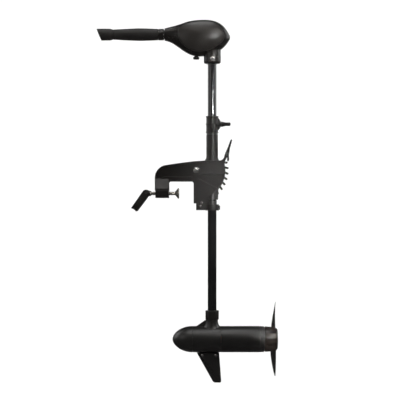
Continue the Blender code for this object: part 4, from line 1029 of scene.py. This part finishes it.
def propeller_pieces():
    axis = (0, 0, MOTOR_Z)
    hub = [
        (13.0, 321.3), (33.0, 321.3), (37.8, 316.4), (40.4, 302.0), (42.2, 280.6), (41.6, 279.6),
        (38.4, 279.6), (36.6, 297.0), (14.0, 297.0), (14.0, 284.0), (5.4, 284.0),
    ]
    hub = turned(hub, 2.0, "X", axis, 128)
    inside = lathe([(13.0, 321.3), (13.0, 309.0), (5.4, 308.6)], "X", axis, 64)
    show(built("propeller_fine", hub, inside, blade(0.0), blade(math.pi)), "rotor", "propeller")
    washer = turned([(0, 308.8), (12.4, 308.8), (12.4, 307.4), (0, 307.4)], 0.3, "X", axis, 64)
    nut = hex_nut(axis, 308.4, 315.6, 9.6, "X")
    show(built("propeller_nut_fine", nut, washer), "rotor", "propeller_nut")


head_pieces()
twist_collar()
tiller_pieces()
shaft_pieces()
clamp_pieces()
bracket_beads()
bolt_pieces()
hinge_pieces()
motor_pieces()
skeg_piece()
propeller_pieces()


# ---------------------------------------------------------------- stage, light, camera


def stage_floor():
    """A pale sweep: level floor that curves up behind the object."""
    low, near, far, radius, top = -1.15, -9.0, 3.2, 1.6, 6.0
    profile = [(near, low)]
    for k in range(25):
        a = math.radians(90 * k / 24)
        profile.append((far + radius * math.sin(a), low + radius * (1 - math.cos(a))))
    profile.append((far + radius, top))
    points, faces = [], []
    for y, z in profile:
        points += [(-9.0, y, z), (9.0, y, z)]
    for k in range(len(profile) - 1):
        faces.append((2 * k, 2 * k + 1, 2 * k + 3, 2 * k + 2))
    mesh = bpy.data.meshes.new("floor")
    mesh.from_pydata(points, [], faces)
    mesh.shade_smooth()
    floor = bpy.data.objects.new("floor", mesh)
    SCENE.collection.objects.link(floor)
    look = Look("pale_floor")
    cloud = look.noise(0.8, 3.0, 0.5)
    look.set(Base_Color=look.ramp(cloud, [(0.3, 0.90), (0.7, 0.93)]), Roughness=0.9)
    look.shader.inputs["Specular IOR Level"].default_value = 0.1
    mesh.materials.append(look.material)
    floor.visible_glossy = False


def lamp(name, at, aim, size, power, colour=(1.0, 1.0, 1.0)):
    data = bpy.data.lights.new(name, "AREA")
    data.shape = "RECTANGLE"
    data.size, data.size_y = size
    data.energy = power
    data.color = colour
    made = bpy.data.objects.new(name, data)
    made.location = at
    made.rotation_euler = (Vector(aim) - Vector(at)).to_track_quat("-Z", "Y").to_euler()
    SCENE.collection.objects.link(made)
    return made


def gridded(made, angle):
    """Puts a honeycomb grid on a lamp, so that it lights only what it is aimed at."""
    made.data.spread = math.radians(angle)
    return made


def studio():
    """The lamps, and a world that the camera sees near white but that hardly lights the object."""
    light_strength, seen_strength = 0.05, 0.9
    world = bpy.data.worlds.new("studio")
    world.use_nodes = True
    SCENE.world = world
    tree = world.node_tree
    paper = tree.nodes["Background"]
    paper.inputs["Color"].default_value = (1.0, 1.0, 1.0, 1.0)
    paper.inputs["Strength"].default_value = light_strength
    seen = tree.nodes.new("ShaderNodeBackground")
    seen.inputs["Strength"].default_value = seen_strength
    rays = tree.nodes.new("ShaderNodeLightPath")
    choice = tree.nodes.new("ShaderNodeMixShader")
    tree.links.new(rays.outputs["Is Camera Ray"], choice.inputs["Fac"])
    tree.links.new(paper.outputs["Background"], choice.inputs[1])
    tree.links.new(seen.outputs["Background"], choice.inputs[2])
    tree.links.new(choice.outputs["Shader"], tree.nodes["World Output"].inputs["Surface"])
    lamp("key", (1.6, -2.3, 1.9), (0.1, 0.0, 0.2), (0.9, 0.9), 33.0, (1.0, 0.97, 0.93))
    lamp("fill", (-2.6, -2.2, 0.9), (0.0, 0.0, -0.1), (0.7, 1.6), 11.0, (1.0, 0.97, 0.94))
    lamp("top", (0.0, -0.3, 2.9), (0.0, 0.0, 0.0), (1.8, 1.2), 30.0)
    lamp("strip_left", (-1.05, -1.62, 0.86), (SHAFT_X * MM, 0.0, 0.3), (0.07, 0.8), 0.4)
    lamp("strip_right", (1.78, -1.06, 0.86), (SHAFT_X * MM, 0.0, 0.3), (0.10, 0.8), 3.4)
    gridded(lamp("strip_sleeve", (0.79, -1.88, 0.42), (SHAFT_X * MM, 0.0, 0.22), (0.07, 0.9), 0.32), 8.0)
    gridded(lamp("hub_card", (0.98, -1.75, 0.42), (0.305, 0.0, -0.515), (0.09, 0.30), 0.20), 2.5)
    lamp("metal_card", (-0.5, -1.6, 2.4), (0.0, 0.0, 0.0), (1.6, 0.7), 9.0, (1.0, 0.96, 0.9))
    for side in (-1, 1):
        lamp(f"paper_{side}", (3.4 * side, 1.2, 1.6), (0.0, 4.4, 0.2), (2.0, 3.0), 108.0)
    gridded(lamp("paper_front", (0.0, -3.6, 4.2), (0.0, -3.6, -1.15), (9.0, 3.4), 130.0), 70.0)
    lamp("paper_low", (0.0, 1.5, 0.9), (0.0, 3.4, -1.1), (3.6, 0.5), 24.0)


def camera():
    """A long lens, level with the object's middle and square to its side."""
    data = bpy.data.cameras.new("camera")
    data.lens = 100.0
    data.sensor_width = 36.0
    made = bpy.data.objects.new("camera", data)
    made.location = (0.063, -3.71, -0.0615)
    made.rotation_euler = (math.pi / 2, 0.0, 0.0)
    SCENE.collection.objects.link(made)
    SCENE.camera = made


camera()
studio()
stage_floor()
SCENE.view_settings.view_transform = "Standard"
